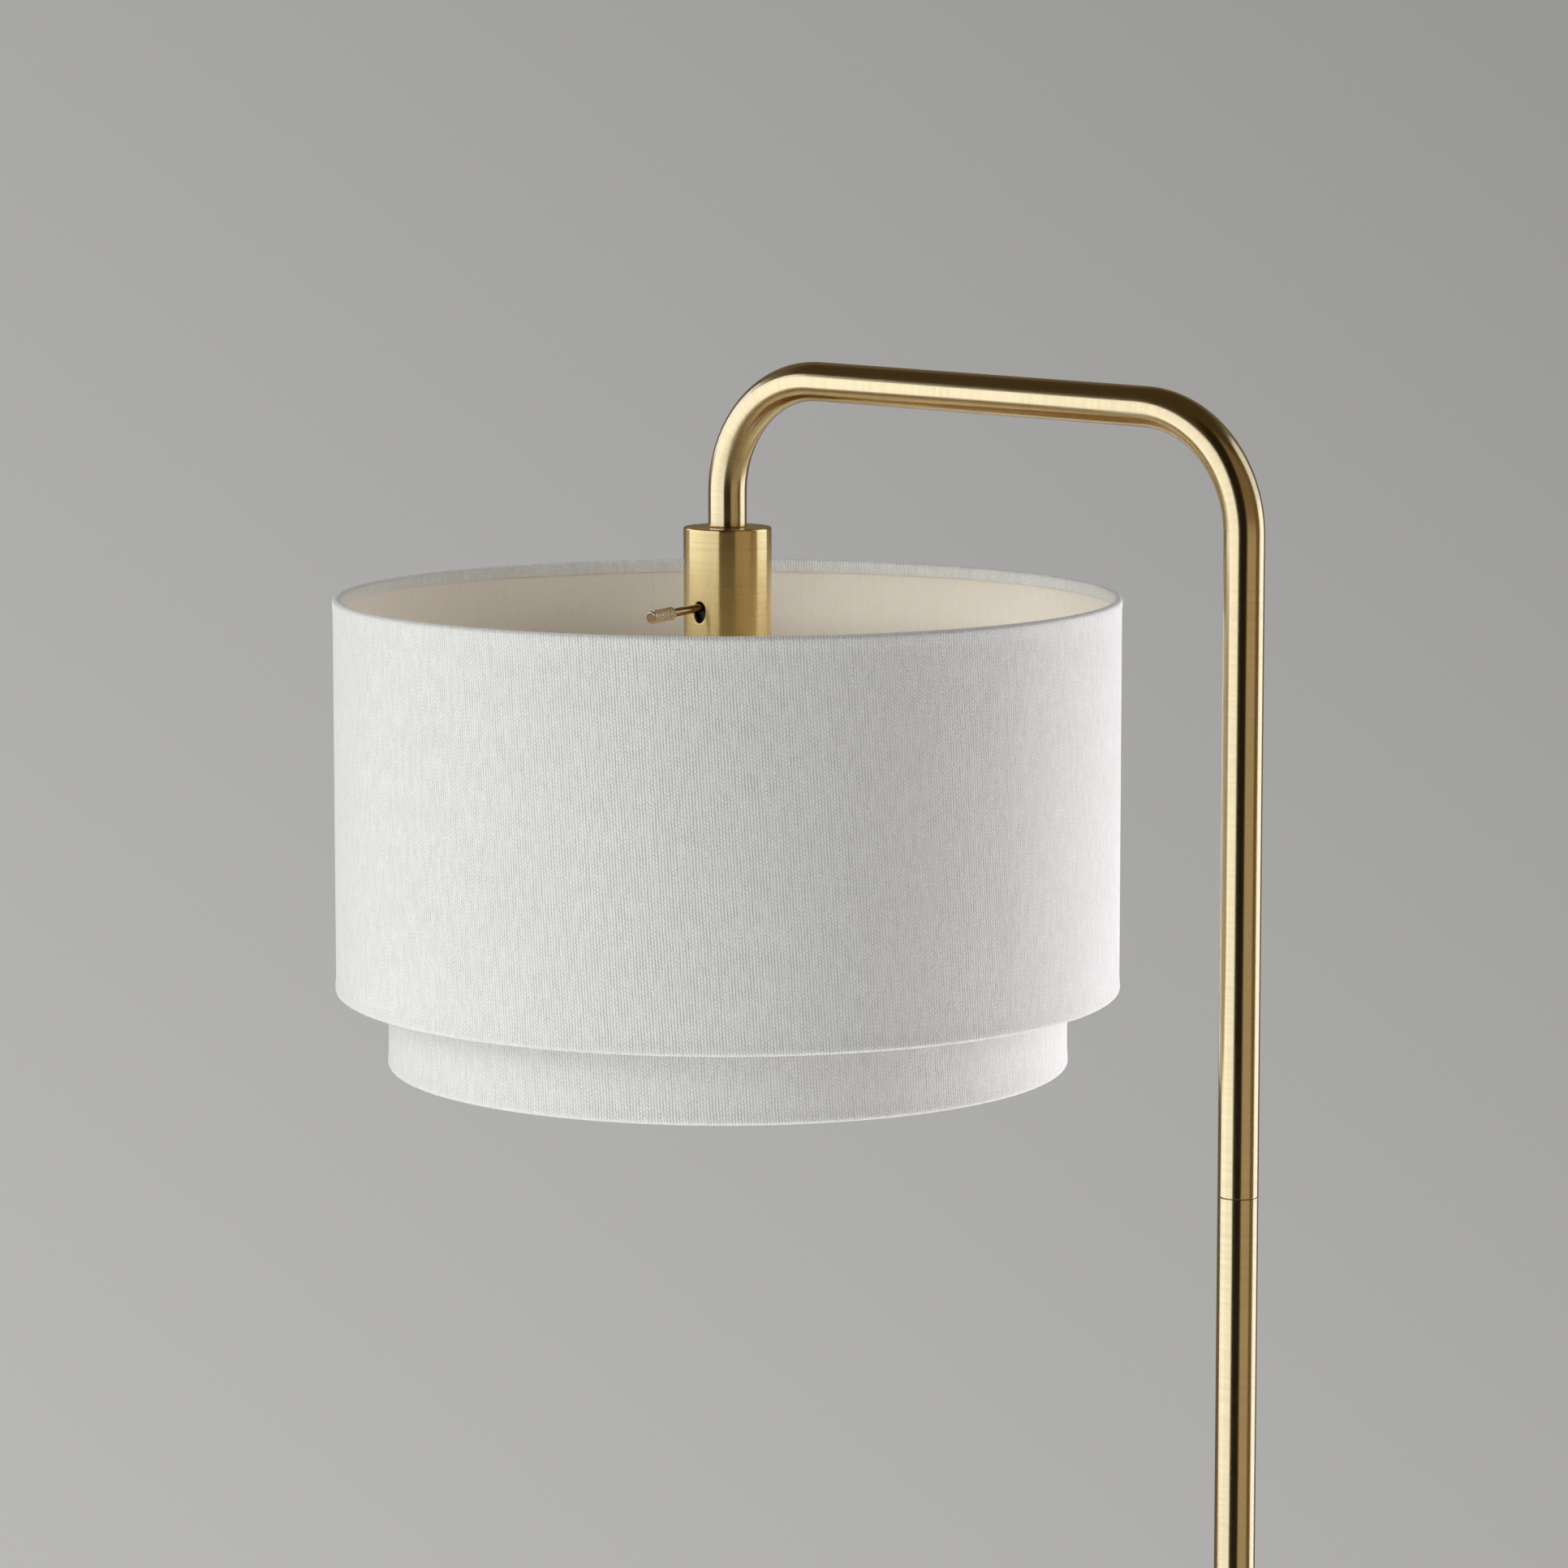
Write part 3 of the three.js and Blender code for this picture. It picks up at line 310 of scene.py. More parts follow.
def piece(name, shape, material, replaced=(), body="lamp", place=None, smooth_to=35):
    """Turns a shape into an object of the lamp, hangs it on its body and hides the parts that it replaces.
    """
    if place is not None:
        bmesh.ops.transform(shape, matrix=place, verts=shape.verts)
    limit = math.radians(smooth_to)
    for face in shape.faces:
        face.smooth = True
    for edge in shape.edges:
        edge.smooth = len(edge.link_faces) == 2 and edge.calc_face_angle() < limit
    made = mesh_object(name, shape, material)
    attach(made, body)
    if replaced:
        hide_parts(*replaced)
    return made


# ---------------------------------------------------------------- material helpers


def colour(code):
    """An sRGB hex colour as linear RGBA."""
    parts = [int(code[i:i + 2], 16) / 255 for i in (1, 3, 5)]
    return (*[p / 12.92 if p <= 0.04045 else ((p + 0.055) / 1.055) ** 2.4 for p in parts], 1.0)


def add(tree, kind, inputs=None, **settings):
    """Adds a node with its settings, and fills or links its inputs."""
    made = tree.nodes.new("ShaderNode" + kind)
    for key, value in settings.items():
        setattr(made, key, value)
    for key, value in (inputs or {}).items():
        if isinstance(value, bpy.types.NodeSocket):
            tree.links.new(value, made.inputs[key])
        else:
            made.inputs[key].default_value = value
    return made


def blank(name, **surface):
    """A material with a bare shader; its constant values are set on the shader itself."""
    material = bpy.data.materials.new(name)
    material.use_nodes = True
    tree = material.node_tree
    shader = tree.nodes["Principled BSDF"]
    for key, value in surface.items():
        shader.inputs[key.replace("_", " ")].default_value = value
    return material, tree, shader


def maths(tree, operation, *values):
    """The result of a Math node."""
    return add(tree, "Math", dict(enumerate(values)), operation=operation).outputs[0]


def remap(tree, value, low, high, new_low=0.0, new_high=1.0):
    """A value stretched so that its range from low to high becomes new_low to new_high."""
    return add(tree, "MapRange", {0: value, 1: low, 2: high, 3: new_low, 4: new_high}).outputs[0]


def scaled(tree, vector, factor):
    return add(tree, "VectorMath", {0: vector, 3: factor}, operation="SCALE").outputs["Vector"]


def stretched(tree, uv, across, upward):
    """Surface coordinates counted in steps of so many millimetres across and upward."""
    scale = (1 / (across * MM), 1 / (upward * MM), 1.0)
    return add(tree, "Mapping", {"Vector": uv, "Scale": scale}).outputs[0]


def noise(tree, place, scale, detail, dimensions="3D", **more):
    """The value of a noise texture."""
    inputs = {"Vector": place, "Scale": scale, "Detail": detail, **more}
    return add(tree, "TexNoise", inputs, noise_dimensions=dimensions).outputs["Fac"]


def arches(tree, value):
    """A row of half-round arches, one to each whole step of a value."""
    return maths(tree, "SINE", maths(tree, "MULTIPLY", maths(tree, "FRACT", value), math.pi))


def dress(tree, shader, share, first, second, height, bump, depth, rough=None):
    """Gives a shader its two mixed colours, its relief (depth in millimetres) and its roughness."""
    mixed = add(tree, "Mix", {0: share, 6: colour(first), 7: colour(second)}, data_type="RGBA")
    relief = add(tree, "Bump", {"Height": height, "Strength": bump, "Distance": depth * MM})
    tree.links.new(mixed.outputs[2], shader.inputs["Base Color"])
    tree.links.new(relief.outputs[0], shader.inputs["Normal"])
    if rough is not None:
        tree.links.new(rough, shader.inputs["Roughness"])


def brass(name, base, worn, roughness, spread, grain, bump, **surface):
    """Polished brass: fine lines run round each tube, each about a grain (in millimetres) wide."""
    material, tree, shader = blank(name, Metallic=1.0, Anisotropic_Rotation=0.25, Coat_Roughness=0.1,
                                   **surface)
    place = add(tree, "TexCoord").outputs["Object"]
    along = add(tree, "SeparateXYZ", {0: add(tree, "UVMap", uv_map="wrap").outputs[0]}).outputs[1]
    # A polishing line is about 0.05 mm wide; it is drawn several times coarser, so that it shows.
    round_tube = scaled(tree, place, 1 / (90 * MM))
    fine = maths(tree, "MULTIPLY", along, 1 / (grain * MM))
    coarse = maths(tree, "MULTIPLY", along, 1 / (7 * grain * MM))
    lines = noise(tree, round_tube, 1.0, 2.0, "4D", W=fine)
    bands = noise(tree, round_tube, 1.0, 1.0, "4D", W=coarse)
    clouds = noise(tree, place, 1 / (45 * MM), 3.0)
    both = maths(tree, "ADD", lines, bands)
    shade = maths(tree, "MULTIPLY", remap(tree, both, 0.7, 1.3), clouds)
    rough = remap(tree, both, 0.6, 1.4, roughness - spread, roughness + spread)
    dress(tree, shader, shade, base, worn, both, bump, 0.02, rough)
    round_piece = add(tree, "Tangent", direction_type="UV_MAP", uv_map="wrap").outputs[0]
    tree.links.new(round_piece, shader.inputs["Tangent"])
    return material


def canvas(name, thread, groove, rib, bead, depth):
    """Plain-woven cotton: upright ribs, each a row of beads where the cross threads go over.

    The width of a rib, the length of a bead and the depth of the relief are in millimetres.
    """
    material, tree, shader = blank(name, Roughness=0.92, Sheen_Weight=0.12, Sheen_Roughness=0.5,
                                   Specular_IOR_Level=0.2)
    uv = add(tree, "UVMap", uv_map="wrap").outputs[0]
    # No thread is quite straight: it wanders by up to a quarter of a millimetre.
    wander = add(tree, "TexNoise", {"Vector": uv, "Scale": 1 / (9 * MM), "Detail": 2.0},
                 noise_dimensions="2D").outputs["Color"]
    drift = add(tree, "VectorMath", {0: wander, 1: (0.5, 0.5, 0.5)}, operation="SUBTRACT").outputs[0]
    drift = scaled(tree, drift, 0.45 * MM)
    wandering = add(tree, "VectorMath", {0: uv, 1: drift}, operation="ADD").outputs[0]
    threads = add(tree, "SeparateXYZ", {0: wandering})
    # The ribs run 3.4 degrees out of upright.
    leaning = maths(tree, "MULTIPLY_ADD", threads.outputs[1], -0.06, threads.outputs[0])
    across = maths(tree, "MULTIPLY", leaning, 1 / (rib * MM))
    column = maths(tree, "FLOOR", across)
    # A rib stands out for a centimetre or two and then sinks back among its neighbours.
    runs = noise(tree, stretched(tree, uv, 3, 12), 1.0, 2.0, "2D")
    sunk = remap(tree, runs, 0.35, 0.65, 0.6, 0.25)
    rib_height = remap(tree, arches(tree, across), 0.0, 1.0, sunk, 1.0)
    # Beads of neighbouring ribs lie half a step apart, and a little out of true.
    stray = add(tree, "TexWhiteNoise", {"W": column}, noise_dimensions="1D").outputs["Value"]
    rib_start = maths(tree, "MULTIPLY_ADD", column, 0.5, maths(tree, "MULTIPLY", stray, 0.22))
    upward = maths(tree, "MULTIPLY_ADD", threads.outputs[1], 1 / (bead * MM), rib_start)
    cell = add(tree, "CombineXYZ", {0: column, 1: maths(tree, "FLOOR", upward)}).outputs[0]
    own = add(tree, "TexWhiteNoise", {"Vector": cell}, noise_dimensions="2D").outputs["Value"]
    waist = remap(tree, own, 0.0, 1.0, 0.55, 0.9)
    bead_height = remap(tree, arches(tree, upward), 0.0, 1.0, waist, 1.0)
    woven = maths(tree, "MULTIPLY", rib_height, bead_height)
    # Spun cotton swells and thins along its length, and a slub is a swelling of a few millimetres.
    uneven = noise(tree, stretched(tree, uv, 0.8, 1.2), 1.0, 2.0, "2D")
    slubs = remap(tree, uneven, 0.64, 0.8, 0.0, 0.4)
    swell = remap(tree, uneven, 0.3, 0.7, 0.78, 1.08)
    height = maths(tree, "MULTIPLY_ADD", woven, swell, slubs)
    broad = noise(tree, uv, 1 / (60 * MM), 2.0, "2D")
    # The colour follows the relief: the hollows between the threads take the darker groove colour as
    # painted shade, the crests take the paler thread colour, and the broad clouds are random tone.
    tone = maths(tree, "MULTIPLY_ADD", broad, 0.12, remap(tree, height, 0.2, 1.05))
    dress(tree, shader, tone, groove, thread, height, 0.8, depth)
    return material


def cast(name, dark, light, size, roughness, bump, **surface):
    """A cast, moulded or plated surface: slow clouds of tone over a fine skin."""
    material, tree, shader = blank(name, **surface)
    place = add(tree, "TexCoord").outputs["Object"]
    skin = noise(tree, place, 1 / (size * MM), 4.0)
    clouds = noise(tree, place, 1 / (14 * size * MM), 2.0)
    tone = remap(tree, maths(tree, "MULTIPLY", skin, clouds), 0.12, 0.4)
    rough = remap(tree, skin, 0.3, 0.7, roughness - 0.06, roughness + 0.06)
    dress(tree, shader, tone, dark, light, skin, bump, 0.05, rough)
    return material


# Lacquered brass tube, polished with a belt that runs round it: a warm pale gold, crisp from side to side
# and blurred up and down, with faint lines across it.
BRUSHED_BRASS = brass("brushed_lacquered_brass", "#D2BA86", "#C2AC7B", 0.22, 0.03, 0.3, 0.3,
                      Anisotropic=0.6, Coat_Weight=0.6)
# Lacquered brass cup, turned and brushed with a satin wheel: yellower, with tall soft reflections. Its
# colour is partly the cup's own yellower brass and partly painted light: it is made paler, to make up for
# the highlight that the drum's inside takes from the cup's lower part.
CUP_BRASS = brass("satin_brushed_brass", "#E8CB88", "#D8B871", 0.27, 0.0065, 0.2, 0.05, Anisotropic=0.96,
                  Coat_Weight=0.4)
# Lacquered brass sheet spun over a former: fine rings that pull every highlight out toward the middle.
SPUN_BRASS = brass("spun_lacquered_brass", "#CFBB8E", "#C2AC7B", 0.3, 0.04, 0.45, 0.4, Anisotropic=0.9,
                   Coat_Weight=0.3)
# Knurled brass, rolled between two cutting wheels: bright crests and dark grooves.
KEY_BRASS = brass("dull_knurled_brass", "#E0CDAA", "#BFA983", 0.12, 0.03, 0.5, 0.2, Anisotropic=0.3)
# Drawn brass rod, coloured a deep bronze far darker than the other brass as painted shade, so that it
# reflects the bright studio cards only dimly; its low roughness gives one thin bright line.
ROD_BRASS_PAINTED_DARK = brass("drawn_brass_rod_painted_dark", "#A1835A", "#7F633E", 0.1, 0.02, 0.5, 0.1, Anisotropic=0.3)
# White cotton canvas, plain woven from thick upright threads: matt, with fine ribs broken into beads, and
# grey painted shade in the grooves between them.
CANVAS = canvas("woven_cotton_canvas", "#F1F1F0", "#C9C8C6", 1.46, 1.95, 0.42)
# The liner is a finer cloth pasted to the inside of the drums; it gives the warm cream inside, with a
# darker painted shade in its grooves.
LINER_CLOTH = canvas("cream_liner_cloth", "#F3ECE1", "#E4DBCC", 0.8, 1.6, 0.06)
# Mild steel parts with a zinc plating: pale blue-grey, half matt.
STEEL = cast("zinc_plated_steel", "#A9ACB0", "#C9CCD0", 0.6, 0.38, 0.1, Metallic=1.0)
# Sand-cast iron weight: dark, coarse and dull.
IRON = cast("cast_iron", "#2C2D2F", "#4C4E51", 1.2, 0.72, 0.6, Metallic=0.8)
# Needle-punched felt pad: nearly black, no shine.
FELT = cast("needled_felt", "#1F1F20", "#38383A", 0.7, 0.9, 0.8)
# Moulded rubber: black, with a dull even skin.
RUBBER = cast("moulded_rubber", "#151516", "#262627", 0.5, 0.8, 0.3)
# Bakelite, pressed hot in a mould: brown-black, with a soft gloss.
PHENOLIC = cast("moulded_phenolic", "#191715", "#2B2724", 0.8, 0.42, 0.1)
# Stamped copper alloy springs and shells: reddish and bright.
CONTACT = cast("copper_alloy_contacts", "#A97C4E", "#C79A68", 0.5, 0.33, 0.1, Metallic=1.0)
# Steel wire with a baked white powder coat: satin, with a slight orange-peel skin.
WHITE_WIRE = cast("white_powder_coat", "#DAD8D2", "#EEECE7", 0.4, 0.48, 0.3)
# Injection-moulded white plastic of the bulb's neck: smooth, half gloss.
BULB_PLASTIC = cast("bulb_housing_plastic", "#E6E4E0", "#F3F1ED", 0.5, 0.4, 0.05)
# Blow-moulded milky dome of the bulb: soft white, no hard reflections.
DIFFUSER = cast("bulb_diffuser", "#EDEAE2", "#F8F5EE", 0.5, 0.5, 0.05)

FINISH_OF_SLOT = {
    "brass": BRUSHED_BRASS,
    "key_brass": KEY_BRASS,
    "steel": STEEL,
    "iron": IRON,
    "felt": FELT,
    "rubber": RUBBER,
    "phenolic": PHENOLIC,
    "contact_metal": CONTACT,
    "white_wire": WHITE_WIRE,
    "shade_cloth": CANVAS,
    "bulb_plastic": BULB_PLASTIC,
    "bulb_diffuser": DIFFUSER,
}

# Every solid keeps its own slot's finish, also where a finer piece stands over it.
for sub in frame["record"]["subparts"]:
    for cad_slot in frame["nodes"][sub["node"]].material_slots:
        cad_slot.material = FINISH_OF_SLOT[sub["material_slot"]]


# ---------------------------------------------------------------- base

COVER_SHEET = 1.2
COVER_EDGE = 5
cover_low, cover_high = box_mm("base_cover")
base_radius, base_top = cover_high.x, cover_high.z
cover_hole = TUBE_RADIUS - 4  # hidden under the pole's foot
edge_centre = (base_radius - COVER_EDGE, base_top - COVER_EDGE)
cover_shape = turned([
    (base_radius - COVER_SHEET, cover_low.z),
    (base_radius, cover_low.z),
    *arc(edge_centre, COVER_EDGE, 0, 90, 10),
    (cover_hole, base_top),
    (cover_hole, base_top - COVER_SHEET),
    *arc(edge_centre, COVER_EDGE - COVER_SHEET, 90, 0, 8),
], BASE_SIDES)
wrap(cover_shape, base_radius / 2, drawn_measure)
piece("base_cover_spun", cover_shape, SPUN_BRASS, ["base_cover"])

# Rubber grommet where the cord would leave the cover: a bush whose lip is rounded over.
LIP_THICKNESS, LIP_EDGE, BORE_EDGE = 1.5, 1, 0.6
grommet_low, grommet_high = box_mm("cord_grommet")
lip_radius, lip_face = grommet_high.y, grommet_high.x
bush_radius, bore_radius = lip_radius - 1.55, lip_radius - 3.25
grommet_shape = turned([
    (bore_radius, grommet_low.x),
    (bush_radius, grommet_low.x),
    (bush_radius, lip_face - LIP_THICKNESS),
    (lip_radius, lip_face - LIP_THICKNESS),
    *arc((lip_radius - LIP_EDGE, lip_face - LIP_EDGE), LIP_EDGE, 0, 90, 6),
    *arc((bore_radius + BORE_EDGE, lip_face - BORE_EDGE), BORE_EDGE, 90, 180, 5),
], CUP_SIDES)
grommet_height = (grommet_low.z + grommet_high.z) / 2 * MM
at_grommet = Matrix.Translation((0, 0, grommet_height)) @ Matrix.Rotation(math.pi / 2, 4, "Y")
piece("cord_grommet_bush", grommet_shape, RUBBER, ["cord_grommet"], place=at_grommet)

pad_low, pad_high = box_mm("base_pad")
pad_shape = turned(band(0, pad_high.x, pad_low.z, pad_high.z), BASE_SIDES)
piece("base_felt_disc", break_edges(pad_shape, 0.5), FELT, ["base_pad"])

# ---------------------------------------------------------------- pole and arm

for section in ("pole_lower", "pole_middle", "pole_upper"):
    low, high = box_mm(section)
    shape = turned(band(TUBE_RADIUS - TUBE_WALL, TUBE_RADIUS, low.z, high.z), TUBE_SIDES)
    break_edges(shape, TUBE_EDGE, segments=2)
    wrap(shape, TUBE_RADIUS, upright_measure)
    piece(section + "_tube", shape, BRUSHED_BRASS, [section])

arm_shape = swept(ARM_CORNERS, BEND_RADIUS, TUBE_RADIUS, TUBE_SIDES, steps=28)
break_edges(arm_shape, TUBE_EDGE, segments=2)
wrap(arm_shape, TUBE_RADIUS, tube_measure(ARM_CORNERS, BEND_RADIUS))
piece("arm_bent_tube", arm_shape, BRUSHED_BRASS, ["arm_tube"])

# ---------------------------------------------------------------- socket cup

cup_low, cup_high = box_mm("socket_cup")
cup_radius = cup_high.y
cup_top, cup_foot = cup_high.z, cup_low.z
HOLE_WIDTH, HOLE_HEIGHT, HOLE_DEPTH = 7.6, 10.6, 41
ROD_HOLE = 5.2
CUP_WALL = 1.2
CUP_EDGE = 0.9
PATCH_REACH = 9  # the wall is opened this far above and below the hole's centre, then bridged to its oval
PATCH_FACES = 4  # and this many faces to either side
hole_height = cup_top - HOLE_DEPTH
at_shade = Matrix.Translation((SHADE_X * MM, 0, 0))


def on_cup_wall(point):
    return math.hypot(point.x, point.y) > (cup_radius - 1) * MM


def beside_hole(edge):
    reach = PATCH_REACH + 0.5
    return edge.is_boundary and all(abs(v.co.z / MM - hole_height) < reach for v in edge.verts)


def cup_with_hole():
    """A cup wall with an oval hole bridged into it, closed over by its top and given its thickness."""
    hole_rows = [hole_height + step for step in range(-PATCH_REACH, PATCH_REACH + 1, 2)]
    outline = [(cup_radius, z) for z in (cup_foot, *hole_rows, cup_top - CUP_EDGE)]
    outline += arc((cup_radius - CUP_EDGE, cup_top - CUP_EDGE), CUP_EDGE, 15, 90, 5)
    outline.append((ROD_HOLE, cup_top))
    shape = spun_profile(outline, CUP_SIDES, closed=False)
    patch = []
    for face in shape.faces:
        middle = face.calc_center_median()
        level = abs(middle.z / MM - hole_height) < PATCH_REACH
        if (level and on_cup_wall(middle)
                and abs(math.atan2(middle.x, -middle.y)) < PATCH_FACES * math.tau / CUP_SIDES):
            patch.append(face)
    bmesh.ops.delete(shape, geom=patch, context="FACES")
    rim = [e for e in shape.edges if beside_hole(e)]
    oval = bmesh.ops.create_circle(shape, segments=len(rim) * 2, radius=1)["verts"]
    bmesh.ops.scale(shape, verts=oval, vec=(HOLE_WIDTH / 2 * MM, HOLE_HEIGHT / 2 * MM, 1))
    on_wall = Matrix.Translation((0, -cup_radius * MM, hole_height * MM))
    bmesh.ops.transform(shape, verts=oval, matrix=on_wall @ Matrix.Rotation(math.pi / 2, 4, "X"))
    oval_edges = [e for e in shape.edges if set(e.verts) <= set(oval)]
    bmesh.ops.subdivide_edges(shape, edges=rim, cuts=1)
    rim = [e for e in shape.edges
           if beside_hole(e) and e not in oval_edges and all(on_cup_wall(v.co) for v in e.verts)]
    bridged = bmesh.ops.bridge_loops(shape, edges=rim + oval_edges)["edges"]
    spokes = [e for e in bridged if e not in rim and e not in oval_edges]
    bmesh.ops.subdivide_edges(shape, edges=spokes, cuts=3)
    for vert in shape.verts:
        if vert.co.z / MM < cup_top - CUP_EDGE - 0.3:
            reach = math.hypot(vert.co.x, vert.co.y)
            vert.co.x *= cup_radius * MM / reach
            vert.co.y *= cup_radius * MM / reach
    bmesh.ops.remove_doubles(shape, verts=shape.verts, dist=WELD)
    bmesh.ops.recalc_face_normals(shape, faces=shape.faces)
    bmesh.ops.solidify(shape, geom=shape.faces[:], thickness=CUP_WALL * MM)
    return shape


cup_shape = cup_with_hole()
break_edges(cup_shape, 0.45, sharper_than=60, where=lambda p: math.hypot(p.x, p.y) > cup_radius - 0.4)
wrap(cup_shape, cup_radius, drawn_measure)
piece("socket_cup_turned", cup_shape, CUP_BRASS, ["socket_cup"], place=at_shade, smooth_to=40)

# ---------------------------------------------------------------- lamp holder below the cup

RIDGES, RIDGE_PITCH, RIDGE_DEPTH = 6, 2.2, 0.7
SOCKET_BORE = 15
socket_low, socket_high = box_mm("socket_body")
socket_radius = socket_high.y
ridges = []
for i in range(RIDGES):
    foot = socket_low.z + 2.5 + RIDGE_PITCH * i
    ridges += [
        (socket_radius - RIDGE_DEPTH, foot),
        (socket_radius, foot + 0.7),
        (socket_radius, foot + 1.3),
        (socket_radius - RIDGE_DEPTH, foot + 2),
    ]
holder_shape = turned([
    (SOCKET_BORE, socket_low.z),
    (socket_radius - 1.2, socket_low.z),
    (socket_radius - RIDGE_DEPTH, socket_low.z + 0.8),
    *ridges,
    (socket_radius, socket_low.z + 17),
    (socket_radius, socket_high.z),
    (SOCKET_BORE, socket_high.z),
], CUP_SIDES)
piece("lamp_holder_skirt", holder_shape, PHENOLIC, ["socket_body"], place=at_shade)

fitter_low, fitter_high = box_mm("shade_fitter")
holder_clearance = socket_radius + SEAT_GAP
fitter_shape = turned(band(holder_clearance, fitter_high.y, fitter_low.z, fitter_high.z), CUP_SIDES)
break_edges(fitter_shape, 0.4)
piece("shade_fitter_washer", fitter_shape, WHITE_WIRE, ["shade_fitter"], place=at_shade)

RING_HUB, RING_FLANGE = 24, 2
ring_low, ring_high = box_mm("shade_ring")
ring_shape = turned([
    (holder_clearance, ring_low.z),
    (RING_HUB, ring_low.z),
    (RING_HUB, ring_high.z - RING_FLANGE),
    (ring_high.y, ring_high.z - RING_FLANGE),
    (ring_high.y, ring_high.z),
    (holder_clearance, ring_high.z),
], CUP_SIDES)
break_edges(ring_shape, 0.35, sharper_than=60)
piece("shade_clamp_ring", ring_shape, PHENOLIC, ["shade_ring"], place=at_shade)

# ---------------------------------------------------------------- switch key

# The key is drawn upright, its start at the cup's axis, and then laid down.
KEY_TILT = math.radians(3.4)
KEY_DEPTH = 37.3  # below the cup's top
KNOB_START, KNOB_END, KNOB_RADIUS = 41.8, 58, 3.2
ROD_RADIUS = 2.1
ROD_START = -5
rod_end = KNOB_START + 6
key_place = (Matrix.Translation((SHADE_X * MM, 0, (cup_top - KEY_DEPTH) * MM))
             @ Matrix.Rotation(KEY_TILT, 4, "X") @ Matrix.Rotation(math.pi / 2, 4, "X"))
rod_shape = turned(band(0, ROD_RADIUS, ROD_START, rod_end), 32)
wrap(rod_shape, ROD_RADIUS, upright_measure)
piece("switch_key_rod", rod_shape, ROD_BRASS_PAINTED_DARK, ["key_rod"], "switch_key", key_place)

KNOB_SIDES = 112
KNURL_RINGS = 56  # of points along the knurl
KNURL_DEPTH = 0.45
# A real knurl is about half as coarse; this one is drawn so that it shows.
KNURL_ROUND, KNURL_STEP = 14, 2.2  # diamonds round the knob, and their length
knurl_start, knurl_end = KNOB_START + 0.9, KNOB_END - 1.7
rod_bore = ROD_RADIUS + 0.1
knob_line = [(rod_bore, KNOB_START), (KNOB_RADIUS - 0.7, KNOB_START), (KNOB_RADIUS - 0.1, KNOB_START + 0.7)]
for i in range(KNURL_RINGS + 1):
    knob_line.append((KNOB_RADIUS, knurl_start + (knurl_end - knurl_start) * i / KNURL_RINGS))
# Plain neck and collar, then an end face with a turned groove; depths inward, and back from the end.
knob_line += [(KNOB_RADIUS - inward, KNOB_END - back) for inward, back in (
    (0.3, 1.6), (0.3, 1.35), (0.05, 1.2), (0, 0.7), (0.15, 0.35),
    (0.55, 0), (0.75, 0), (0.95, 0.4), (1.1, 0.4), (1.25, 0.1))]
knob_line += [(0, KNOB_END - 0.1), (0, rod_end), (rod_bore, rod_end)]
knob_shape = turned(knob_line, KNOB_SIDES)
for vert in knob_shape.verts:
    reach = math.hypot(vert.co.x, vert.co.y) / MM
    height = vert.co.z / MM
    if reach > KNOB_RADIUS - 0.01 and knurl_start < height < knurl_end - 0.1:
        turn = math.atan2(vert.co.y, vert.co.x) * KNURL_ROUND / math.tau
        rise = (height - KNOB_START) / KNURL_STEP
        cut = max(abs((turn + rise) % 1 - 0.5), abs((turn - rise) % 1 - 0.5)) * 2
        shrink = 1 - KNURL_DEPTH / KNOB_RADIUS * max(cut - 0.35, 0) / 0.65
        vert.co.x *= shrink
        vert.co.y *= shrink
wrap(knob_shape, KNOB_RADIUS, upright_measure)
piece("switch_key_knob", knob_shape, KEY_BRASS, ["key_knob"], "switch_key", key_place,
      smooth_to=50)

# ---------------------------------------------------------------- cloth drums


def hem_profile(radius, foot, top):
    """The cloth's outer face: from inside the upper hem, over its roll and down to the lower hem."""
    # Inside, the cloth's edge is pulled back to the liner: distances inward, and below the top.
    upper = [(radius - inward, top - depth) for inward, depth in
             ((1.2, HEM), (2.3, 6.7), (2.9, 6.1), (3.3, 5.0), (3.6, 3.6))]
    roll = arc((radius - ROLL, top - ROLL), ROLL, 180, 0, 14)
    upper += [(r + max(r - radius + ROLL, 0) / ROLL * ROLL_SWELL, z) for r, z in roll]
    upper += [(radius + ROLL_SWELL * share, top - depth) for depth, share in
              ((2.6, 0.98), (3.4, 0.88), (4.4, 0.68), (5.4, 0.44), (6.4, 0.24),
               (7.6, 0.1), (9, 0.03), (10.5, 0.0), (12, 0.0), (20, 0.0))]
    lower = [(r, top + foot - z) for r, z in reversed(upper)]
    return upper + lower


def seam_strip(outline, sides, width, radius):
    """A narrow upright strip of the drum's wall, turned to where the seams are."""
    shape = turned(outline, sides, width / radius)
    bmesh.ops.rotate(shape, verts=shape.verts, matrix=Matrix.Rotation(LAP_TURN, 3, "Z"))
    return shape


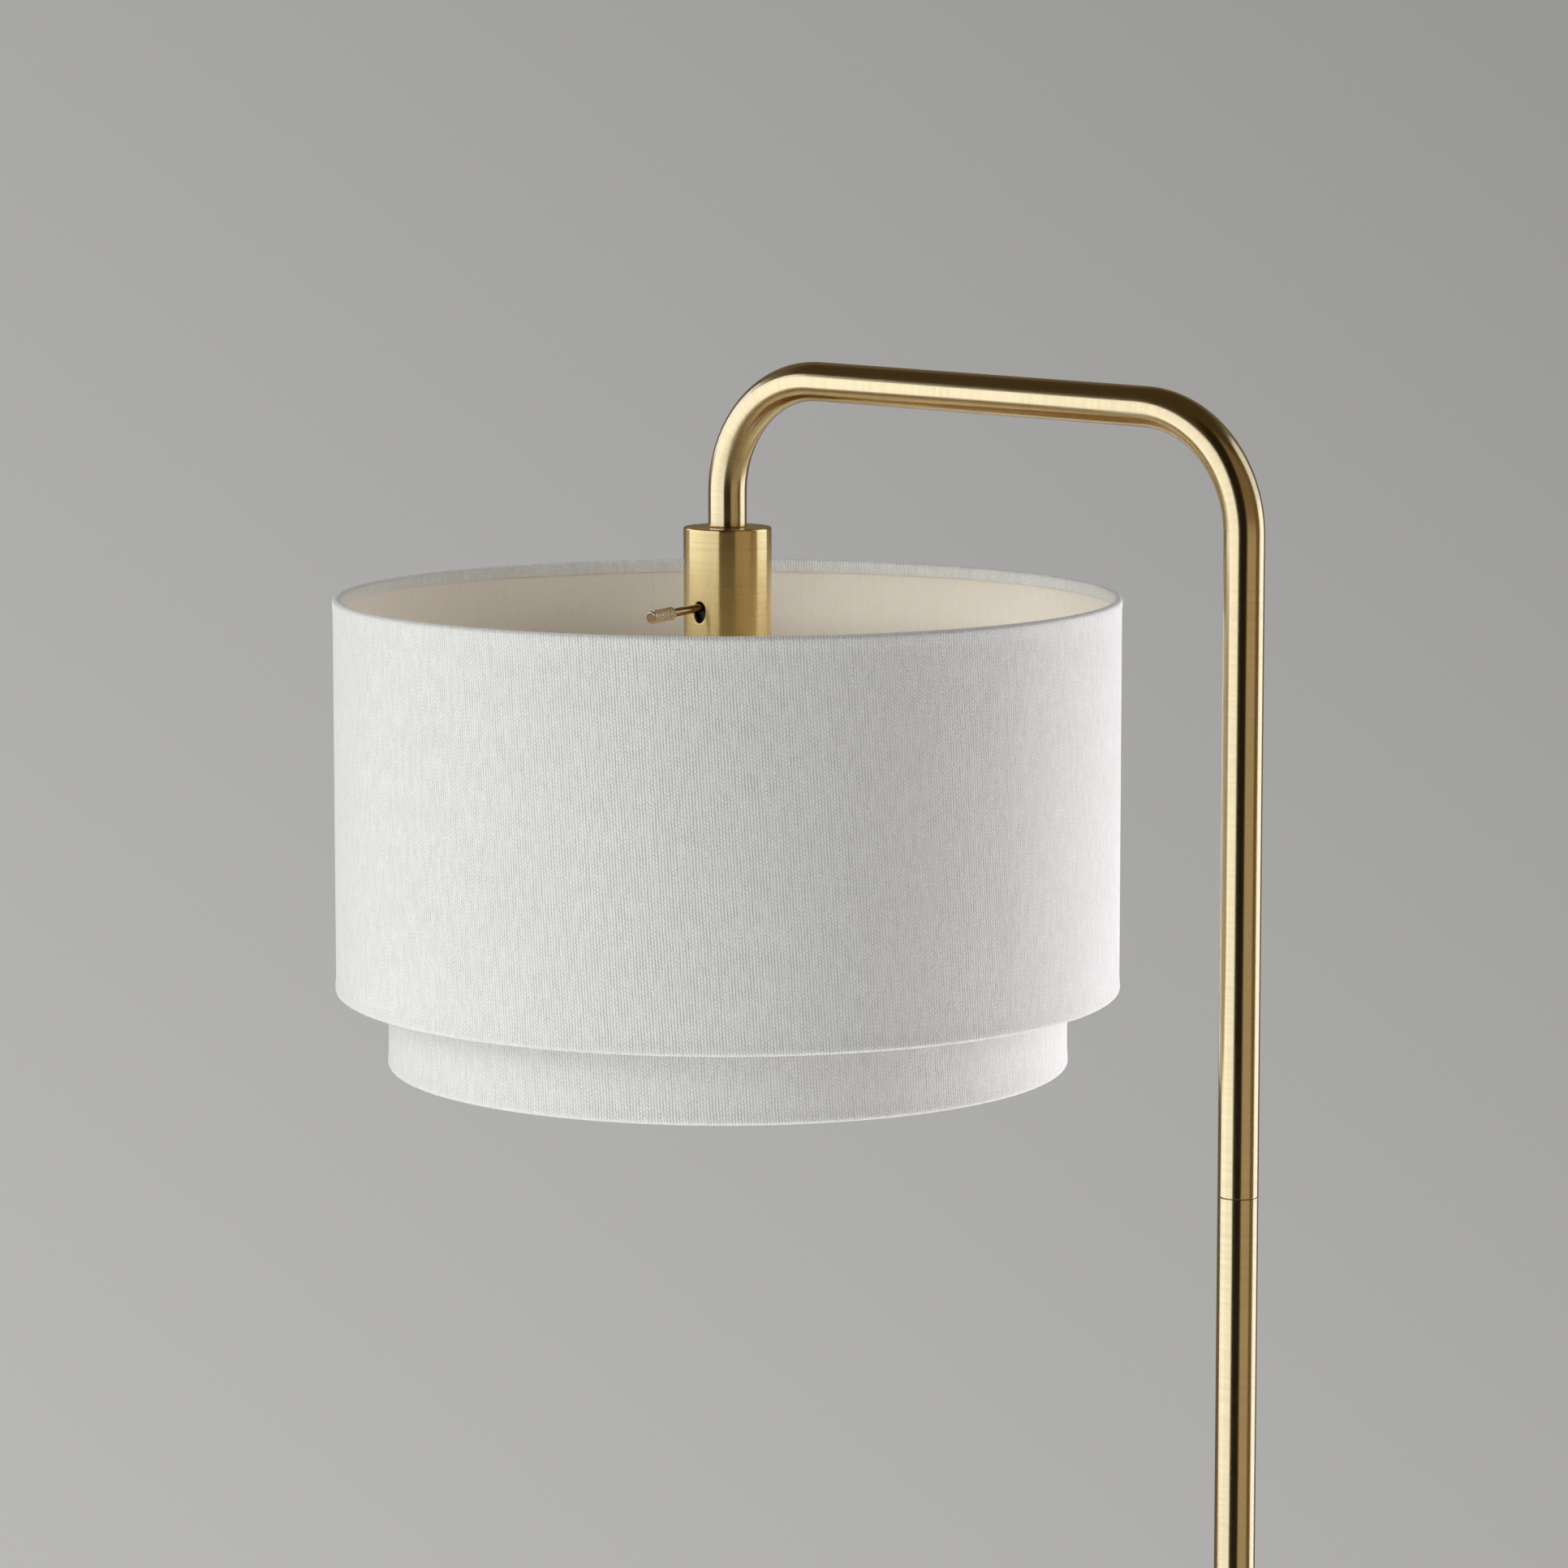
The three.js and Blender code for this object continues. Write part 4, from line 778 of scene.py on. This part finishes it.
def cloth_drum(name):
    low, high = box_mm(name)
    radius, foot, top = high.y, low.z, high.z
    line = hem_profile(radius, foot, top)
    cloth_shape = turned(thickened(line, CLOTH), DRUM_SIDES)
    wrap(cloth_shape, radius, profile_measure(line), LAP_TURN)
    piece(name + "_cloth", cloth_shape, CANVAS, [name], place=at_shade, smooth_to=60)

    inside = radius - WALL
    liner_shape = turned(band(inside, inside + LINER, foot + 2.4, top - 2.4), DRUM_SIDES)
    lap_shape = seam_strip(band(radius - 0.1, radius + CLOTH, foot + 8, top - 8), 6, LAP, radius)
    break_edges(lap_shape, 0.18, segments=2)
    seam_shape = seam_strip(band(inside - 0.25, inside + 0.05, foot + 7.2, top - 7.2), 4, LINER_LAP, radius)
    for part, shape, material in (("_liner", liner_shape, LINER_CLOTH), ("_lap", lap_shape, CANVAS),
                                  ("_liner_seam", seam_shape, LINER_CLOTH)):
        wrap(shape, radius, upright_measure, LAP_TURN)
        piece(name + part, shape, material, place=at_shade)


cloth_drum("outer_drum")
cloth_drum("inner_drum")

# ---------------------------------------------------------------- shade frame

WIRE_RADIUS = 1.1
WIRE_GAP = 0.2  # between the wire and the drum's liner
SPIDER_START, SPIDER_BEND = 23, 6
outer_high = box_mm("outer_drum")[1]
wire_reach = outer_high.y - WALL - WIRE_GAP - WIRE_RADIUS
spider_height = fitter_high.z + SEAT_GAP + WIRE_RADIUS
# A riser ends just below the hem wire that it holds.
riser_top = outer_high.z - 0.6 - 2 * WIRE_RADIUS - SEAT_GAP
spider_corners = [
    Vector((SPIDER_START, 0, spider_height)),
    Vector((wire_reach, 0, spider_height)),
    Vector((wire_reach, 0, riser_top)),
]
for i, turn in enumerate((7.5, 127.5, 247.5)):
    arm = swept(spider_corners, SPIDER_BEND, WIRE_RADIUS, 16, steps=8)
    bmesh.ops.rotate(arm, verts=arm.verts, matrix=Matrix.Rotation(math.radians(turn), 3, "Z"))
    piece(f"spider_wire_{i + 1}", arm, WHITE_WIRE, [f"spider_arm_{i + 1}"], place=at_shade)

# ---------------------------------------------------------------- bulb

BULB_WALL = 1.5
NECK_BORE, NECK_RADIUS = 10.9, 12.2
FLARE_HEIGHT = 34
body_low, body_high = box_mm("bulb_body")
dome_low, dome_high = box_mm("bulb_dome")
bulb_radius = dome_high.y
neck_top, flare_foot = body_high.z, body_low.z
flare_top = flare_foot + FLARE_HEIGHT
body_shape = turned([
    (NECK_BORE, neck_top),
    (NECK_RADIUS, neck_top),
    (NECK_RADIUS, flare_top),
    (14, flare_top - 0.4),
    (15.2, flare_top - 4),
    (18.2, flare_top - 12),
    (22.4, flare_top - 20),
    (26.6, flare_top - 27),
    (bulb_radius - 0.6, flare_foot + 2),
    (bulb_radius - 0.3, flare_foot),
    (bulb_radius - 1.8, flare_foot),
    (NECK_BORE, flare_top - 6),
], CUP_SIDES)
piece("bulb_housing", body_shape, BULB_PLASTIC, ["bulb_body"], place=at_shade)

dome_depth = dome_high.z - dome_low.z
dome_line = [(0, dome_low.z)]
dome_line += [(bulb_radius * math.sin(a), dome_high.z - dome_depth * math.cos(a))
              for a in (math.radians(5 * k) for k in range(1, 19))]
inner_share, inner_depth_share = 1 - BULB_WALL / bulb_radius, 1 - BULB_WALL / dome_depth
inner_line = [(r * inner_share, dome_high.z - (dome_high.z - z) * inner_depth_share)
              for r, z in reversed(dome_line)]
dome_shape = turned(dome_line + inner_line, CUP_SIDES)
piece("bulb_diffuser_dome", dome_shape, DIFFUSER, ["bulb_dome"], place=at_shade)

# ---------------------------------------------------------------- camera

CAMERA_SIDE = math.radians(39.53)  # round the shade, from straight in front of the key
CAMERA_TURN = CAMERA_SIDE + math.radians(0.111)
CAMERA_PITCH = math.radians(6.685)
# From the shade's axis, in metres.
CAMERA_DISTANCE, CAMERA_ASIDE, CAMERA_HEIGHT = 2.6676955, 0.0330783, 1.7479
LENS_LENGTH, SENSOR_WIDTH = 124.4441, 36  # in millimetres
SHADE_AXIS = Vector((SHADE_X * MM, 0, 0))
toward = Vector((math.sin(CAMERA_SIDE), -math.cos(CAMERA_SIDE), 0))
aside = Vector((math.cos(CAMERA_SIDE), math.sin(CAMERA_SIDE), 0))

camera_data = bpy.data.cameras.new("camera")
camera_data.sensor_width = SENSOR_WIDTH
camera_data.lens = LENS_LENGTH
camera_data.shift_y = -0.06
camera_data.clip_start = 0.05
camera_data.clip_end = 60
camera = scene_object("camera", camera_data)
camera.location = SHADE_AXIS + toward * CAMERA_DISTANCE + aside * CAMERA_ASIDE + UP * CAMERA_HEIGHT
camera.rotation_euler = (math.pi / 2 - CAMERA_PITCH, 0, CAMERA_TURN)
bpy.context.scene.camera = camera

# ---------------------------------------------------------------- studio


def studio_place(angle, distance, height):
    """A point round the shade, its angle in degrees to the right of the camera's direction."""
    turn = math.radians(angle)
    return SHADE_AXIS + (toward * math.cos(turn) + aside * math.sin(turn)) * distance + UP * height


def softbox(name, angle, distance, height, width, tall, radiance, tone="#F8FAF9", aim=1.4):
    """A soft rectangular light that is turned to the shade's axis, at a height given by aim."""
    lamp_data = bpy.data.lights.new(name, "AREA")
    lamp_data.shape = "RECTANGLE"
    lamp_data.size = width
    lamp_data.size_y = tall
    lamp_data.color = colour(tone)[:3]
    lamp_data.energy = radiance * math.pi * width * tall
    made = scene_object(name, lamp_data)
    made.location = studio_place(angle, distance, height)
    made.rotation_mode = "QUATERNION"
    made.rotation_quaternion = (SHADE_AXIS + UP * aim - made.location).to_track_quat("-Z", "Y")
    made.visible_camera = False
    made.visible_glossy = False


# The cloth is lit by soft lights that the metal doesn't see; what the metal sees are the cards below.
# Angle, distance and height of its place, width and height of its face, and its strength.
softbox("key_softbox", -75, 1.9, 2.2, 1.2, 1.0, 2.65)
softbox("fill_softbox", -40, 1.9, 1.9, 0.9, 0.9, 2.4)
softbox("top_softbox", -90, 0.7, 3.0, 0.8, 0.8, 2.4, aim=1.3)
softbox("edge_softbox", 106, 1.15, 1.15, 0.34, 1.5, 7.9, "#FAF8FC")
softbox("right_softbox", 75, 2.2, 0.6, 1.5, 1.2, 1.7, "#FAF8FA")
softbox("low_left_softbox", -50, 1.4, 0.2, 2.0, 1.0, 4.15)
softbox("low_right_softbox", 70, 1.4, 0.2, 1.6, 1.0, 1.8, "#FAF8FA")


def only_metal_sees(name, shape, tone, strength=1.0):
    """Makes a shape a plain glowing card, bright or dark, that shows in the metal and nowhere else."""
    paint, tree, shader = blank(name)
    tree.nodes.remove(shader)
    glow = add(tree, "Emission", {"Color": colour(tone), "Strength": strength})
    tree.links.new(glow.outputs[0], tree.nodes["Material Output"].inputs[0])
    made = mesh_object(name, shape, paint)
    made.visible_camera = False
    made.visible_diffuse = False
    made.visible_transmission = False
    made.visible_shadow = False


def flat_card(width, tall, place):
    shape = bmesh.new()
    bmesh.ops.create_grid(shape, x_segments=1, y_segments=1, size=0.5)
    bmesh.ops.scale(shape, verts=shape.verts, vec=(width, tall, 1))
    bmesh.ops.transform(shape, verts=shape.verts, matrix=place)
    return shape


def card(name, start, end, low, high, tone, strength=1.0):
    """An upright card; its ends are given in metres to the right of the shade and toward the camera."""
    start, end = (SHADE_AXIS + aside * right + toward * near for right, near in (start, end))
    along = (end - start).normalized()
    turn = Matrix((along, UP, along.cross(UP))).transposed().to_4x4()
    place = Matrix.Translation((start + end) / 2 + UP * (low + high) / 2) @ turn
    only_metal_sees(name, flat_card((end - start).length, high - low, place), tone, strength)


GREY_WALL, WARM_DARK = "#6E6350", "#473C2A"
STUDIO_TOP = 3.5
card("key_card", (-0.95, 0.42), (-0.448, 1.108), 0.5, 2.1, "#D9E4FF", 2.1)
card("key_card_left", (-1.9, -0.98), (-0.95, 0.42), 0.5, 2.35, "#D9E4FF", 2.35)
card("key_card_back", (-1.45, -1.6), (-1.9, -0.98), 1.62, 2.6, "#D9E4FF", 2.1)
card("camera_flag", (-0.448, 1.108), (0.449, 1.17), 0.3, STUDIO_TOP, "#1C150A")
card("right_wall", (0.449, 1.17), (2.2, 1.15), 0.2, 1.6, "#BEB1A0")
card("right_wall_top", (0.449, 1.17), (2.2, 1.15), 1.6, STUDIO_TOP, "#85745C")
card("right_gap", (2.2, 1.15), (1.84, 0.16), 0.2, STUDIO_TOP, "#735F3F")
card("edge_card", (1.84, 0.16), (2.35, -1.65), 0.05, 1.9, "#D9E4FF", 2.3)
card("edge_card_top", (1.84, 0.16), (2.35, -1.65), 1.9, STUDIO_TOP, "#D9E4FF", 1.5)
card("right_back_flag", (2.35, -1.65), (0.2, -2.4), 0.0, STUDIO_TOP, GREY_WALL)
card("back_flag", (0.2, -2.4), (-1.45, -1.6), 0.0, STUDIO_TOP, GREY_WALL)
card("left_back_flag", (-1.46, -1.62), (-1.92, -0.98), 0.0, STUDIO_TOP, GREY_WALL)
card("left_top_flag", (-1.92, -0.98), (-0.458, 1.118), 2.1, STUDIO_TOP, WARM_DARK)
ceiling = flat_card(6, 6, Matrix.Translation(SHADE_AXIS + UP * STUDIO_TOP))
only_metal_sees("ceiling_flag", ceiling, WARM_DARK)
floor_turn = Matrix((toward, aside, UP)).transposed().to_4x4()
floor_middle = SHADE_AXIS - aside * 1.2 - toward * 0.5 + UP * 0.03
floor_patch = flat_card(2.6, 2.4, Matrix.Translation(floor_middle) @ floor_turn)
only_metal_sees("floor_flag", floor_patch, "#8A6A42")

# The pale floor fades out round the base into the backdrop, which is grey all round, with a painted fall of
# light across it.
FLOOR_RADIUS = 3.4
FADE_START, FADE_END = 0.3, 1.1
floor_shape = bmesh.new()
bmesh.ops.create_circle(floor_shape, cap_ends=True, segments=128, radius=FLOOR_RADIUS)
floor_material, floor_tree, floor_shader = blank("floor", Roughness=0.9, Base_Color=colour("#D4D3D1"))
floor_place = add(floor_tree, "TexCoord").outputs["Object"]
floor_reach = add(floor_tree, "VectorMath", {0: floor_place}, operation="LENGTH").outputs["Value"]
fade = add(floor_tree, "MapRange", {0: floor_reach, 1: FADE_START, 2: FADE_END, 3: 0.0, 4: 1.0},
           interpolation_type="SMOOTHSTEP")
clear = add(floor_tree, "BsdfTransparent")
floor_mix = add(floor_tree, "MixShader",
                {0: fade.outputs[0], 1: floor_shader.outputs[0], 2: clear.outputs[0]})
floor_tree.links.new(floor_mix.outputs[0], floor_tree.nodes["Material Output"].inputs[0])
mesh_object("floor", floor_shape, floor_material)

# The camera and the metal see a grey backdrop with a painted fall of light across it: paler at its lower
# left, darker at its upper right.
# The lamp is lit by a dim warm room beside the softboxes.
world = bpy.data.worlds.new("studio")
bpy.context.scene.world = world
world.use_nodes = True
sky = world.node_tree
sky.nodes.clear()
ray = add(sky, "LightPath").outputs
seen = maths(sky, "MAXIMUM", ray["Is Camera Ray"], ray["Is Glossy Ray"])
seen = maths(sky, "MAXIMUM", seen, ray["Is Transmission Ray"])
heading = add(sky, "TexCoord").outputs["Generated"]
paler_way = tuple(-0.6 * aside - 0.75 * UP)
lean = add(sky, "VectorMath", {0: heading, 1: paler_way}, operation="DOT_PRODUCT").outputs["Value"]
wall_tone = remap(sky, lean, -0.084, 0.284)
wall = add(sky, "Mix", {0: wall_tone, 6: colour("#999897"), 7: colour("#B9B8B6")}, data_type="RGBA")
backdrop = add(sky, "Background", {"Color": wall.outputs[2], "Strength": 1.0}).outputs[0]
room = add(sky, "Background", {"Color": colour("#FFFAF0"), "Strength": 0.2}).outputs[0]
add(sky, "OutputWorld", {0: add(sky, "MixShader", {0: seen, 1: room, 2: backdrop}).outputs[0]})

bpy.context.scene.view_settings.view_transform = "Standard"
